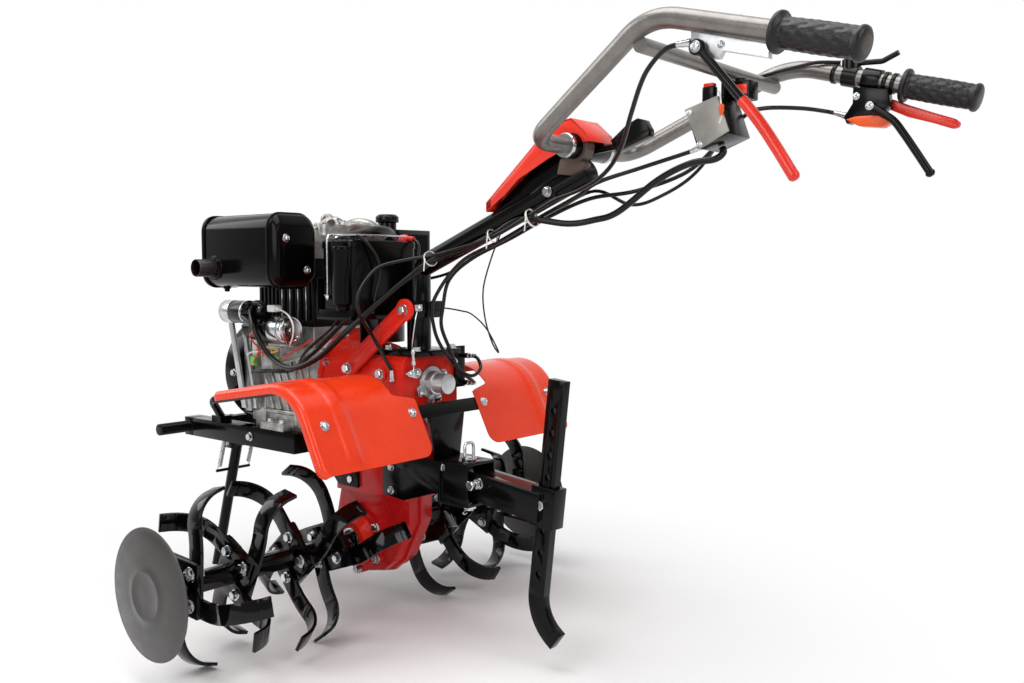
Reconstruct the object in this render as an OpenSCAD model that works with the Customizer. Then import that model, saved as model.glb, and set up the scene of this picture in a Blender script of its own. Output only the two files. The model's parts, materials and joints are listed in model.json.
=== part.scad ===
// Rotary tiller with a diesel engine, tine reels on both sides of the gearbox
// leg, a flip stand in front and a furrow stake behind.
// Millimetres. X points forward, Y to the operator's left and Z up.
// The floor is Z 0 and the tine shaft runs above the origin.

/* [Tine rotor] */
// Radius of the circle that the tine tips run on
tip_r = 199; // [190:1:208]
// Width of a tine's flat bar
tine_w = 40; // [34:1:44]
// Thickness of a tine's flat bar
tine_t = 7; // [5:0.5:9]
// Radius of a tine's curve in the plane of its flange
tine_curve_r = 180; // [160:1:200]
// Radius of a tine's sideways bend
tine_bend_r = 68; // [60:1:72]
// Length of a tine's straight end
tine_end = 18; // [10:1:20]
// Distance from the middle plane to the inner tine flange
flange_first = 136; // [134:1:142]
// Side of a square tine flange
flange_side = 110; // [100:1:116]
// Thickness of a tine flange
flange_t = 8; // [6:0.5:10]
// Width across the flats of the hexagonal hub tubes
hub_af = 40; // [38:1:44]
// Diameter of the tine shaft
shaft_d = 30; // [26:1:34]
// Radius of a guard disc
disc_r = 132; // [115:1:145]
// Thickness of a guard disc
disc_t = 3; // [2:0.5:5]

/* [Gearbox] */
// Width of the gearbox leg
leg_w = 96; // [90:1:104]
// Width of the upper gearbox
case_w = 170; // [160:1:180]
// Radius of the clutch bell at the engine
bell_r = 104; // [98:1:108]

/* [Engine] */
// Width of the crankcase
crankcase_w = 250; // [240:1:260]
// Length of the muffler
muffler_len = 294; // [280:1:300]
// Width of the muffler
muffler_w = 124; // [114:1:130]
// Height of the muffler
muffler_h = 170; // [160:1:176]
// Outer diameter of the tail pipe
tail_od = 40; // [34:1:44]
// Diameter of the starter motor
starter_d = 66; // [60:1:70]
// Width of the battery
battery_w = 194; // [185:1:198]
// Height of the battery
battery_h = 164; // [155:1:170]

/* [Fenders] */
// Thickness of the fender sheet
fender_t = 2.5; // [2:0.5:3]
// Distance from the middle plane to a fender's inner edge
fender_in = 92; // [88:1:100]
// Width of a fender
fender_w = 298; // [285:1:305]

/* [Handlebar] */
// Diameter of the handlebar tube
bar_d = 32; // [30:1:34]
// Distance of each grip's end from the middle plane
grip_y = 267; // [255:1:280]
// Length of a grip
grip_len = 134; // [120:1:140]
// Diameter of a grip
grip_d = 46; // [42:1:48]
// Diameter of the steering column tube
column_d = 48; // [44:1:52]
// Diameter of the upright post
post_d = 54; // [50:1:58]

/* [Hitch] */
// Width of the furrow stake
stake_w = 40; // [36:1:44]
// Thickness of the furrow stake
stake_t = 20; // [17:1:23]
// Diameter of the holes in the furrow stake
stake_hole_d = 13; // [11:1:14]
// Diameter of the hitch pin
pin_d = 18; // [16:1:20]

/* [Stand] */
// Diameter of the stand tube
stand_d = 28; // [25:1:30]
// Diameter of the stand's pivot bolt
bolt_d = 12; // [10:1:14]

/* [Hidden] */

RED = "#E2371F";
DARK_RED = "#B81E1C";
BLACK = "#1A1A1C";
STEEL = "#B8BCC0";
ALU = "#A6A9AB";
GUNMETAL = "#8A837D";
RUBBER = "#232325";

$fn = 48;

// Clearances: a sliding fit, a running fit at a turning part, a free gap
fit = 0.3;
run = 0.5;
free = 6;
plate = 6;
// Bends are thinner than the straight runs by this on each side, and the runs lap over them
seat = 0.05;

// Axle and rotor: tips of neighbouring flanges stand one step apart
// Each flange: distance from the inner one, and whether every second tine bends outwards
flange_table = [[0, true], [104, true], [248, true], [372, false]];
flanges = len(flange_table);
tines_a_flange = 4;
tip_step = 360 / (flanges * tines_a_flange);
axle_h = tip_r * cos(tip_step / 2);
tine_curve_a = 15;
tine_bend_a = 75;
tine_off = (flange_side - tine_w) / 2;
tine_reach = tine_bend_r * sin(tine_bend_a) + tine_end * cos(tine_bend_a)
    + tine_t / 2 * sin(tine_bend_a);
tip_u = tine_curve_r * sin(tine_curve_a) + tine_reach * cos(tine_curve_a)
    + tine_w / 2 * sin(tine_curve_a);
tip_v = tine_off - tine_curve_r * (1 - cos(tine_curve_a)) - tine_reach * sin(tine_curve_a)
    + tine_w / 2 * cos(tine_curve_a);
stem_end = sqrt(tip_r * tip_r - tip_v * tip_v) - tip_u;
tip_a = atan2(tip_v, stem_end + tip_u);
hub_od = hub_af / cos(30);
hub_bore = shaft_d + 2 * fit;
cover_h = 22;
hub_in = leg_w / 2 + cover_h + free;
hub_out = flange_first + flange_table[flanges - 1][0] + 73;
shaft_end = flange_first + 60;
disc_dome_r = 1090;
disc_rise = 9;

// Gearbox
leg_top = 450;
case_top = 635;
case_back = -195;
case_front = -60;
crank_z = 570;
bell_face = 58;
bell_small_r = 84;
flange_plate_t = 12;

// Engine
base_z = 437;
base_t = 14;
block_top = 640;
deck_z = 690;
head_z = 850;
head_top = 905;
rocker_h = 27;
block_front = 330;
cyl_back = 92;
cyl_front = 300;
cyl_w = 190;
head_w = 210;
muffler_back = 28;
muffler_z = 781;
muffler_in = 130;
tail_x = 254;
tail_z = 828;
tail_len = 50;
starter_back = 92;
starter_len = 130;
starter_nose = 30;
starter_z = 685;
starter_y = crankcase_w / 2 + starter_d / 2 + fit;
solenoid_d = 56;
solenoid_len = 90;
solenoid_up = 38;
tray_z = 716;
tray_t = 8;
battery_x = -128;
battery_l = 100;
battery_y = -24;
battery_z = tray_z + tray_t;

// Fender profile in the X-Z plane: front edge, corner and rear edge
fender_front = [72, 567];
fender_top = [-205, 612];
fender_back = [-297, 434];
fender_bend_r = 115;
fender_mid = fender_in + fender_w / 2;
screw_z = 523;

// Column and handlebar
post_x = -159;
column_z = 826;
column_a = 22;
pivot = [-614, 0, 1057];
sleeve_d = 46;
sleeve_w = 116;
column_len = (post_x - pivot.x) * cos(column_a) + (pivot.z - column_z) * sin(column_a) - 4;
bar_low_y = 158;
bar_high = [-915, 252, 1214];
bar_end = [-1252, grip_y, 1119];
bar_bend_low = 58;
bar_bend_high = 130;
brace_at = [-890, 0, 1174];
brace_d = 25;
grip_flange_d = grip_d + 14;
grip_wall = 4;

// Hitch and stake
hitch_x = -266;
hitch_end = -345;
hitch_low = 318;
hitch_high = 412;
hitch_w = 90;
droop = 6.5;
draw_w = 64;
draw_h = 60;
pin_at = [-310, 0, 368];
sleeve_out = 216;
sleeve_h = 84;
stake_up = 262;
stake_down = 184;
stake_curve_r = 93;
stake_curve_a = 60;
stake_tip = 14;
stake_pitch = 46;

// Stand
stand_pivot = [540, 0, 362];
stand_foot_x = 650;
stand_a = atan2(stand_foot_x - stand_pivot.x, stand_pivot.z);
stand_len = norm([stand_foot_x - stand_pivot.x, stand_pivot.z]);
stand_hub_w = 44;
stand_hub_d = 34;
spring_y = 46;
spring_d = 13;
spring_wire = 3;
spring_top = [528, spring_y, 384];
spring_low_s = 84;
peg_d = 8;

// Engine rails
rail_y = 130;
rail_w = 45;
rail_h = 47;
rail_t = 5;
rail_back = 128;
rail_front = 550;
bumper_d = 30;
bumper_len = 432;
stay_d = 20;

// Vectors and placing
function unit(v) = v / norm(v);
function turn_of(ex, ey, ez) = abs(ex.z) > 0.999999
    ? [ex.z < 0 ? atan2(ey.x, ey.y) : atan2(-ey.x, ey.y), ex.z < 0 ? 90 : -90, 0]
    : [atan2(ey.z, ez.z), -asin(ex.z), atan2(ex.y, ex.x)];
function aim(d) = [0, acos(d.z), atan2(d.y, d.x)];
function flip_y(p) = [p.x, -p.y, p.z];

// A profile drawn in X and Z, given width across Y
module across(w) {
    rotate([90, 0, 0]) linear_extrude(height = w, center = true) children();
}

// A profile drawn in Y and Z, given length along X from x0
module along(x0, length) {
    translate([x0, 0, 0]) rotate([90, 0, 90]) linear_extrude(height = length) children();
}

// A cylinder on the Y axis direction, centred
module cyl_y(d, w) {
    rotate([90, 0, 0]) cylinder(d = d, h = w, center = true);
}

// A cylinder along X
module cyl_x(d, length) {
    rotate([0, 90, 0]) cylinder(d = d, h = length);
}

// How far a straight run laps over a bend of radius r
function lap(r) = sqrt(r * seat);

// A straight bar from a to b
module bar_between(a, b, d) {
    translate(a) rotate(aim(unit(b - a))) cylinder(d = d, h = norm(b - a));
}

// A round bar through points, with a bend radius at each inner point
module bent_bar(pts, d, radii) {
    n = len(pts);
    dirs = [for (i = [0 : n - 2]) unit(pts[i + 1] - pts[i])];
    turns = [for (i = [0 : n - 1]) i == 0 || i == n - 1 ? 0 : acos(dirs[i - 1] * dirs[i])];
    cuts = [for (i = [0 : n - 1]) i == 0 || i == n - 1 ? 0 : radii[i - 1] * tan(turns[i] / 2)];
    laps = [for (i = [0 : n - 1]) i == 0 || i == n - 1 ? 0 : lap(radii[i - 1])];
    for (i = [0 : n - 2])
        bar_between(pts[i] + dirs[i] * (cuts[i] - laps[i]), pts[i + 1] - dirs[i] * (cuts[i + 1] - laps[i + 1]), d);
    for (i = [1 : n - 2]) {
        start = pts[i] - dirs[i - 1] * cuts[i];
        inward = unit(dirs[i] - (dirs[i - 1] * dirs[i]) * dirs[i - 1]);
        translate(start + inward * radii[i - 1])
            rotate(turn_of(-inward, dirs[i - 1], cross(-inward, dirs[i - 1])))
                rotate_extrude(angle = turns[i])
                    translate([radii[i - 1], 0]) circle(d = d - 2 * seat);
    }
}

// A rectangle with rounded corners, from its lower left corner
module round_rect(w, h, r) {
    translate([r, 0]) square([w - 2 * r, h]);
    translate([0, r]) square([w, h - 2 * r]);
    for (x = [r, w - r], y = [r, h - r])
        translate([x, y]) circle(r = r);
}

// A rectangle with cut corners, from its lower left corner
module cut_rect(w, h, c) {
    polygon([[c, 0], [w - c, 0], [w, c], [w, h - c], [w - c, h], [c, h], [0, h - c], [0, c]]);
}

// A strip of sheet along two straight runs and the arc between them: p0 to p1 to p2
// The strip lies from depth below its outer line up to rise above it
module sheet_profile(p0, p1, p2, r, depth, rise) {
    d0 = unit(p1 - p0);
    d1 = unit(p2 - p1);
    a = acos(d0 * d1);
    cut = r * tan(a / 2);
    n0 = [d0.y, -d0.x];
    n1 = [d1.y, -d1.x];
    out0 = n0 * d1 > 0 ? -n0 : n0;
    out1 = n0 * d1 > 0 ? -n1 : n1;
    t0 = p1 - d0 * cut;
    t1 = p1 + d1 * cut;
    centre = t0 - out0 * r;
    e0 = t0 + d0 * lap(r);
    e1 = t1 - d1 * lap(r);
    polygon([p0 - out0 * depth, e0 - out0 * depth, e0 + out0 * rise, p0 + out0 * rise]);
    polygon([e1 - out1 * depth, p2 - out1 * depth, p2 + out1 * rise, e1 + out1 * rise]);
    intersection() {
        translate(centre) difference() {
            circle(r = r + rise - seat, $fn = 96);
            circle(r = r - depth + seat, $fn = 96);
        }
        polygon([centre, centre + 3 * (t0 - centre), centre + 4 * (p1 - centre), centre + 3 * (t1 - centre)]);
    }
}

// Points on a smooth line through a route
function spline_at(a, b, c, d, t) = 0.5 * (2 * b + (c - a) * t
    + (2 * a - 5 * b + 4 * c - d) * t * t + (3 * b - a - 3 * c + d) * t * t * t);
function route_points(pts, steps) = let (n = len(pts)) concat(
    [for (i = [0 : n - 2]) for (k = [0 : steps - 1])
        spline_at(pts[max(i - 1, 0)], pts[i], pts[i + 1], pts[min(i + 2, n - 1)], k / steps)],
    [pts[n - 1]]);
function sides_along(ts, i, s) = i == len(ts) ? []
    : let (u = unit(s - (s * ts[i]) * ts[i])) concat([u], sides_along(ts, i + 1, u));

// A cable of diameter d through a route
module cable(pts, d, steps = 4, sides = 8) {
    line = route_points(pts, steps);
    n = len(line);
    ts = [for (i = [0 : n - 1]) unit(line[min(i + 1, n - 1)] - line[max(i - 1, 0)])];
    first = abs(ts[0].z) < 0.9 ? [0, 0, 1] : [0, 1, 0];
    us = sides_along(ts, 0, first);
    points = [for (i = [0 : n - 1]) for (k = [0 : sides - 1]) line[i]
        + d / 2 * (cos(360 * k / sides) * us[i] + sin(360 * k / sides) * cross(ts[i], us[i]))];
    walls = [for (i = [0 : n - 2]) for (k = [0 : sides - 1]) for (h = [0, 1])
        let (a = i * sides + k, b = i * sides + (k + 1) % sides)
            h == 0 ? [a, a + sides, b] : [b, a + sides, b + sides]];
    caps = [[for (k = [0 : sides - 1]) k], [for (k = [sides - 1 : -1 : 0]) (n - 1) * sides + k]];
    polyhedron(points = points, faces = concat(walls, caps));
}

// Gearbox leg with its seam flange and six bolt bosses round the shaft
leg_line = [[72, leg_top], [72, axle_h + 105], [88, axle_h + 40], [84, axle_h - 30], [50, axle_h - 68],
    [-30, axle_h - 74], [-75, axle_h - 64], [-112, axle_h - 34], [-160, axle_h + 60], [-160, leg_top]];
leg_core_w = leg_w - 24;
seam_w = 12;
boss_r = 84;
boss_d = 22;
function grown(pts, c, by) = [for (p = pts) p + by * unit(p - c)];

module gearbox_leg() {
    color(DARK_RED) difference() {
        union() {
            across(leg_core_w) polygon(leg_line);
            across(seam_w) polygon(grown(leg_line, [-30, axle_h + 120], 7));
            translate([0, 0, axle_h]) cyl_y(2 * boss_r - boss_d, leg_w);
            translate([-160, -leg_w / 2, leg_top - 145]) cube([232, leg_w, 145]);
            for (i = [0 : 5])
                translate([0, 0, axle_h]) rotate([0, 60 * i + 30, 0])
                    translate([boss_r - boss_d / 2, 0, 0]) cyl_y(boss_d, leg_w);
        }
        translate([0, 0, axle_h]) cyl_y(shaft_d + 2 * run, leg_w + 2);
        translate([-300, -leg_w, leg_top]) cube([600, 2 * leg_w, 100]);
    }
}

module bearing_cover() {
    translate([0, leg_w / 2, axle_h]) rotate([-90, 0, 0]) rotate_extrude()
        polygon([[shaft_d / 2 + run, 0], [62, 0], [62, 7], [50, 12], [42, cover_h], [shaft_d / 2 + run, cover_h]]);
}

module bearing_cover_left() {
    color(RED) bearing_cover();
}

module bearing_cover_right() {
    color(RED) mirror([0, 1, 0]) bearing_cover();
}

// Upper gearbox, the neck to the leg and the clutch bell towards the engine
module gearbox_case() {
    neck_w = 110;
    color(RED) union() {
        translate([case_back, 0, 0]) rotate([90, 0, 90]) linear_extrude(height = case_front - case_back)
            translate([-case_w / 2, leg_top]) cut_rect(case_w, case_top - leg_top, 12);
        translate([case_front, -neck_w / 2, leg_top]) cube([100, neck_w, crank_z - leg_top]);
        translate([case_front, 0, crank_z]) rotate([0, 90, 0])
            cylinder(r1 = bell_small_r, r2 = bell_r, h = bell_face - case_front - 12);
        translate([bell_face - 12, 0, crank_z]) cyl_x(2 * bell_r + 24, 12);
        for (z = [520, 595], y = [-1, 1])
            translate([-128, y * (case_w / 2), z]) cyl_y(34, 12);
        translate([brace_low.x, (lug_y + lug_t) / 2, brace_low.z]) cyl_y(brace_h, lug_y + lug_t);
    }
}

module pto_cap() {
    color(STEEL) translate([case_back, 4, crank_z + 4]) rotate([0, -90, 0]) union() {
        cylinder(d = 72, h = 8);
        cylinder(d = 52, h = 26);
        cylinder(d = 44, h = 58);
        for (a = [109, 179, 299])
            rotate([0, 0, a]) translate([38, 0, 0]) cylinder(d = 18, h = 8);
    }
}

module drain_plug() {
    color(STEEL) translate([case_back, 0, 500]) rotate([0, -90, 0]) union() {
        cylinder(d = 50, h = 10);
        cylinder(d = 30, h = 18);
    }
}

// Upright post on its flange, inclined tube and the sleeve for the handlebar
lug_y = 82;
lug_t = 10;
brace_t = 7;
brace_h = 40;
brace_low = [-30, lug_y + lug_t + brace_t / 2, 602];
brace_high = [-212, lug_y + lug_t + brace_t / 2, 738];

module column() {
    column_end = [post_x - column_len * cos(column_a), 0, column_z + column_len * sin(column_a)];
    color(BLACK) difference() {
        union() {
            translate([post_x - 62, -72, case_top]) cube([124, 144, flange_plate_t]);
            translate([post_x, 0, case_top]) cylinder(d = post_d, h = column_z - case_top + 24);
            bar_between([post_x, 0, column_z], column_end, column_d);
            translate(pivot) cyl_y(sleeve_d, sleeve_w);
            translate([brace_high.x - 18, 0, brace_high.z - 18]) cube([post_x - brace_high.x + 18, lug_y + lug_t, 36]);
        }
        translate(pivot) cyl_y(bar_d + 2 * fit, sleeve_w + 2);
        translate([brace_high.x, lug_y, brace_high.z]) cyl_y(10, 60);
    }
}

module brace_bar() {
    d = brace_high - brace_low;
    color(RED) translate(brace_low) across(brace_t) difference() {
        union() {
            rotate(atan2(d.z, d.x)) translate([0, -brace_h / 2]) square([norm(d), brace_h]);
            circle(d = brace_h + 4);
            translate([d.x, d.z]) circle(d = brace_h + 8);
        }
        translate([d.x, d.z]) circle(d = 10);
        circle(d = 10);
    }
}

// Moulded cover over the top of the column
cover_w = 88;
cover_wall = 3;
cover_line = [[-384, 962], [-552, 1094], [-586, 1107], [-612, 1111], [-646, 1082], [-654, 1064], [-560, 1012],
    [-513, 1011], [-384, 942]];
cover_hollow = [[-398, 966], [-554, 1089], [-587, 1102], [-611, 1106], [-642, 1080], [-649, 1062], [-700, 1000],
    [-384, 900]];

module column_cover() {
    color(RED) difference() {
        across(cover_w) polygon(cover_line);
        across(cover_w - 2 * cover_wall) polygon(cover_hollow);
        translate(pivot) cyl_y(sleeve_d + 2 * fit, cover_w + 2);
        bar_between([post_x, 0, column_z],
            [post_x - 700 * cos(column_a), 0, column_z + 700 * sin(column_a)], column_d + 2 * fit);
    }
}

// Clamp lever behind the sleeve: a neck and a flat handle
module lock_lever() {
    root = pivot + [-sleeve_d / 2 + 4, 0, -6];
    color(BLACK) difference() {
        union() {
            bar_between(root, root + [-62, 0, 6], 14);
            across(20) polygon([[-680, 1066], [-715, 1092], [-739, 1102], [-752, 1098], [-763, 1079], [-763, 1068],
                [-694, 1043]]);
        }
        translate(pivot) cyl_y(sleeve_d, sleeve_w);
    }
}

// Plate at the right rear of the gearbox that holds the shift cables
bracket_y = 98;
bracket_z = [566, 628];

module cable_bracket() {
    color(BLACK) union() {
        translate([case_back - plate, -bracket_y - 8, 556]) cube([plate, 32, 94]);
        for (z = bracket_z)
            translate([case_back - plate - 16, -bracket_y, z]) cyl_x(12, 16);
    }
}

// Crankcase with its base, four feet on the rails, side ribs and mounting pads
module crankcase() {
    w = crankcase_w;
    body_w = w - 50;
    foot = [90, 43, 19];
    pad_w = (w - body_w) / 2;
    color(ALU) union() {
        translate([bell_face, -body_w / 2, base_z + base_t])
            cube([block_front - bell_face, body_w, block_top - base_z - base_t]);
        translate([bell_face + 30, -body_w / 2, base_z]) cube([230, body_w, base_t]);
        translate([cyl_back, -w / 2 + 30, block_top]) cube([cyl_front - cyl_back, w - 60, deck_z - block_top]);
        for (s = [-1, 1]) {
            for (x = [bell_face + 44, bell_face + 92, bell_face + 210])
                translate([x, s * body_w / 2 - 6, base_z + base_t]) cube([9, 12, block_top - base_z - base_t - 30]);
            translate([172, s > 0 ? rail_y - rail_w : -rail_y + 2, base_z]) cube(foot);
            translate([block_front - 30, s > 0 ? body_w / 2 : -w / 2, base_z + 40]) cube([26, pad_w, 190]);
            translate([starter_back + starter_len - 8, s > 0 ? body_w / 2 : -w / 2, block_top - 60])
                cube([42, pad_w, 56]);
        }
        translate([bell_face + 20, 0, crank_z]) cyl_x(body_w - 4, 30);
        translate([block_front - 40, 0, crank_z]) cyl_x(w - 14, 40);
    }
}

module engine_cylinder() {
    fins = 13;
    pitch = (cyl_front - cyl_back - 10) / fins;
    color(BLACK) difference() {
        translate([cyl_back, -cyl_w / 2, deck_z]) cube([cyl_front - cyl_back, cyl_w, head_z - deck_z]);
        for (s = [-1, 1], i = [0 : fins - 1])
            translate([cyl_back + 8 + pitch * i, s * cyl_w / 2 - 18, deck_z + 14])
                cube([pitch - 6, 36, head_z - deck_z - 28]);
    }
}

// Head with its rocker cover, bolt bosses and lifting eye
module cylinder_head() {
    eye_d = 34;
    color(ALU) union() {
        translate([cyl_back - 6, -head_w / 2, head_z]) cube([cyl_front - cyl_back + 6, head_w, head_top - head_z]);
        translate([cyl_back + 4, -70, head_top]) linear_extrude(height = rocker_h) round_rect(176, 140, 22);
        for (x = [cyl_back + 30, cyl_back + 92, cyl_back + 154])
            translate([x, 0, head_top + rocker_h]) cylinder(d = 24, h = 7);
        translate([cyl_back + 62, 0, head_top + rocker_h + eye_d / 2 - 6]) difference() {
            cyl_y(eye_d, 14);
            cyl_y(eye_d - 16, 20);
        }
    }
}

// Fan housing and pull starter in front
module recoil_housing() {
    slots = 10;
    color(BLACK) difference() {
        translate([block_front, 0, crank_z]) rotate([0, 90, 0]) rotate_extrude()
            polygon([[0, 0], [138, 0], [138, 58], [118, 78], [92, 82], [88, 104], [72, 112], [0, 112]]);
        for (i = [0 : slots - 1])
            translate([block_front, 0, crank_z]) rotate([360 / slots * i, 0, 0])
                translate([60, -6, 98]) cube([40, 12, 24]);
    }
}

// Muffler: main shell, crimped front rim and a cover with cut corners at the back
module muffler() {
    rim = 10;
    cover_l = 30;
    corner = 36;
    front = muffler_back + muffler_len;
    color(BLACK) union() {
        along(muffler_back + cover_l, muffler_len - cover_l - rim)
            translate([muffler_in + 3, muffler_z + 3]) round_rect(muffler_w - 6, muffler_h - 6, corner);
        along(front - rim, rim) translate([muffler_in, muffler_z]) round_rect(muffler_w, muffler_h, corner);
        intersection() {
            along(muffler_back, cover_l) translate([muffler_in, muffler_z]) cut_rect(muffler_w, muffler_h, 26);
            translate([muffler_back, muffler_in, muffler_z])
                linear_extrude(height = muffler_h) polygon([[0, 11], [12, 3], [cover_l, 0],
                    [cover_l, muffler_w], [12, muffler_w - 3], [0, muffler_w - 11]]);
            translate([muffler_back, muffler_in + muffler_w / 2, muffler_z])
                across(muffler_w) polygon([[0, 24], [12, 8], [cover_l, 0],
                    [cover_l, muffler_h], [12, muffler_h - 8], [0, muffler_h - 28]]);
        }
        translate([150, (head_w / 2 + muffler_in + 3) / 2, head_z + 25]) cyl_y(46, muffler_in + 3 - head_w / 2);
    }
}

module tail_pipe() {
    wall = 3;
    y0 = muffler_in + muffler_w - 3;
    color(BLACK) translate([tail_x, y0, tail_z]) rotate([-90, 0, 0]) difference() {
        union() {
            cylinder(d = tail_od, h = tail_len);
            cylinder(d = tail_od + 12, h = 4);
        }
        translate([0, 0, 4]) cylinder(d = tail_od - 2 * wall, h = tail_len);
    }
}

// Fuel tank on the right of the head
tank_gap = 2;
tank_size = [270, 128, 122];
tank = [20, -head_w / 2 - tank_gap - tank_size.y, 800];
filler = [tank.x + 83, tank.y + tank_size.y * 0.66, tank.z + tank_size.z];
neck_h = 20;

module fuel_tank() {
    r = 28;
    color(BLACK) union() {
        translate(tank) intersection() {
            linear_extrude(height = tank_size.z) round_rect(tank_size.x, tank_size.y, r);
            translate([0, tank_size.y / 2, 0]) across(tank_size.y) cut_rect(tank_size.x, tank_size.z, 12);
        }
        translate(filler - [0, 0, 2]) cylinder(d = 46, h = neck_h + 2);
        translate([cyl_back + 40, tank.y + tank_size.y - 2, tank.z + tank_size.z / 2])
            cube([120, tank_gap + 2, 20]);
    }
}

module tank_cap() {
    color(BLACK) translate(filler + [0, 0, neck_h]) union() {
        cylinder(d = 58, h = 14);
        translate([0, 0, 14]) cylinder(d1 = 58, d2 = 44, h = 6);
    }
}

// Air cleaner canister below the tank
module air_cleaner() {
    at = [160, -172, 640];
    color(BLACK) union() {
        translate(at) cylinder(d = 132, h = 120);
        translate(at + [0, 0, 120]) cylinder(d1 = 132, d2 = 110, h = 12);
        translate([160, -(cyl_w / 2 + 30) , 730]) cyl_y(46, 60);
    }
}

// Battery with its lid and two terminals
module battery() {
    lid = 18;
    r = 14;
    color(BLACK) translate([battery_x, battery_y, battery_z]) union() {
        linear_extrude(height = battery_h - lid) round_rect(battery_l, battery_w, r);
        translate([0, 0, battery_h - lid]) translate([-2, -2, 0])
            linear_extrude(height = lid) round_rect(battery_l + 4, battery_w + 4, r);
        for (y = [18, battery_w - 18])
            translate([22, y, battery_h]) cylinder(d = 16, h = 10);
    }
}

// Tray under the battery with a front wall and a foot on the clutch bell
module battery_tray() {
    lip = 14;
    gap = 3;
    y0 = post_d / 2 + gap;
    y1 = battery_y + battery_w + gap;
    color(BLACK) union() {
        translate([battery_x - gap - 3, y0, tray_z]) cube([battery_l + 2 * gap + 7, y1 - y0 + 5, tray_t]);
        translate([battery_x - gap - 3, y0, tray_z]) cube([3, y1 - y0 + 5, tray_t + lip]);
        translate([battery_x + battery_l + gap, y0, tray_z]) cube([4, y1 - y0 + 5, 90]);
        translate([battery_x, y1, tray_z]) cube([battery_l, 5, tray_t + lip]);
        difference() {
            translate([-56, 30, crank_z + 10]) cube([plate, 50, tray_z - crank_z - 10]);
            translate([case_front, 0, crank_z]) rotate([0, 90, 0])
                cylinder(r1 = bell_small_r + fit, r2 = bell_r + fit, h = bell_face - case_front - 12);
        }
    }
}

// Starter motor with its end cap, and the solenoid on top of it
module starter_motor() {
    color(STEEL) translate([starter_back, starter_y, starter_z]) union() {
        cyl_x(starter_d - 8, 10);
        translate([10, 0, 0]) cyl_x(starter_d, starter_len - 10);
        translate([starter_len, 0, 0]) cyl_x(starter_d - 16, starter_nose);
        translate([starter_len + 6, -starter_y + crankcase_w / 2, -70])
            cube([20, starter_d / 2, 96]);
    }
}

module solenoid() {
    at = [starter_back + starter_len + starter_nose + fit, starter_y, starter_z + solenoid_up];
    color(STEEL) translate(at) union() {
        cyl_x(solenoid_d, solenoid_len);
        translate([-14, 0, 0]) cyl_x(20, 14);
    }
}

// Welded frame under the engine: two angle rails, cross members, leg plates, stand lugs
module engine_frame() {
    lug_gap = stand_hub_w / 2 + run;
    color(BLACK) difference() {
        union() {
            for (s = [-1, 1]) {
                translate([rail_back, s > 0 ? rail_y - rail_w : -rail_y, base_z - rail_t])
                    cube([rail_front - rail_back, rail_w, rail_t]);
                translate([rail_back, s > 0 ? rail_y - rail_t : -rail_y, base_z - rail_h])
                    cube([rail_front - rail_back, rail_t, rail_h]);
                translate([0, s * (leg_w / 2 + plate / 2), 0]) across(plate)
                    polygon([[-8, axle_h + 122], [-8, axle_h + 178], [50, base_z], [rail_back + 6, base_z],
                        [rail_back + 6, base_z - rail_h], [60, axle_h + 122]]);
                translate([0, s * (lug_gap + plate / 2), 0]) across(plate)
                    polygon([[500, base_z], [536, base_z], [stand_pivot.x + 18, stand_pivot.z - 18],
                        [stand_pivot.x - 18, stand_pivot.z - 18]]);
                translate([spring_top.x, s * (lug_gap + plate + 13), spring_top.z]) cyl_y(peg_d, 26);
            }
            translate([rail_back, -rail_y, base_z - rail_h]) cube([plate, 2 * rail_y, rail_h]);
            translate([498, -rail_y, base_z - rail_h]) cube([plate, 2 * rail_y, rail_h]);
        }
        translate(stand_pivot) cyl_y(bolt_d + 2 * fit, stand_hub_w + 6 * plate);
    }
}

// Bumper bar across the front in two sockets
module front_guard() {
    wall = 4;
    socket_l = bumper_d + 2 * wall;
    color(BLACK) union() {
        for (s = [-1, 1])
            translate([rail_front, s > 0 ? rail_y - rail_w : -rail_y, base_z - rail_h])
                cube([socket_l, rail_w, rail_h]);
        translate([rail_front + socket_l / 2, 0, base_z - rail_h / 2]) cyl_y(bumper_d, bumper_len);
    }
}

// Fender: sheet with its inner side cut back at the gearbox, rolled outer lip and a pressed rib
module fender() {
    lip_h = 14;
    rib_w = 40;
    rib_h = 3;
    outer = fender_in + fender_w;
    notch = [-232, 150];
    lip_t = 2 * fender_t;
    short = 1;
    lip_front = fender_front + short * unit(fender_top - fender_front);
    lip_back = fender_back + short * unit(fender_top - fender_back);
    difference() {
        union() {
            translate([0, fender_mid - short, 0]) across(fender_w - 2 * short)
                sheet_profile(fender_front, fender_top, fender_back, fender_bend_r, fender_t, 0);
            translate([0, outer - lip_t / 2, 0]) across(lip_t)
                sheet_profile(lip_front, fender_top, lip_back, fender_bend_r, lip_h, short);
            translate([0, outer - 86, 0]) across(rib_w)
                sheet_profile(lip_front, fender_top, lip_back, fender_bend_r, fender_t / 2, rib_h);
        }
        translate([notch.x, 0, fender_front.y - 50]) cube([fender_front.x - notch.x + 20, notch.y, 200]);
    }
}

module fender_left() {
    color(RED) fender();
}

module fender_right() {
    color(RED) mirror([0, 1, 0]) fender();
}

// Rear fender carrier: bar under both fenders and the plate down to the hitch
back_dir = unit(fender_back - fender_top);
back_out = [back_dir.y, -back_dir.x];
screw_at = fender_back + back_dir * ((screw_z - fender_back.y) / back_dir.y);

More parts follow.
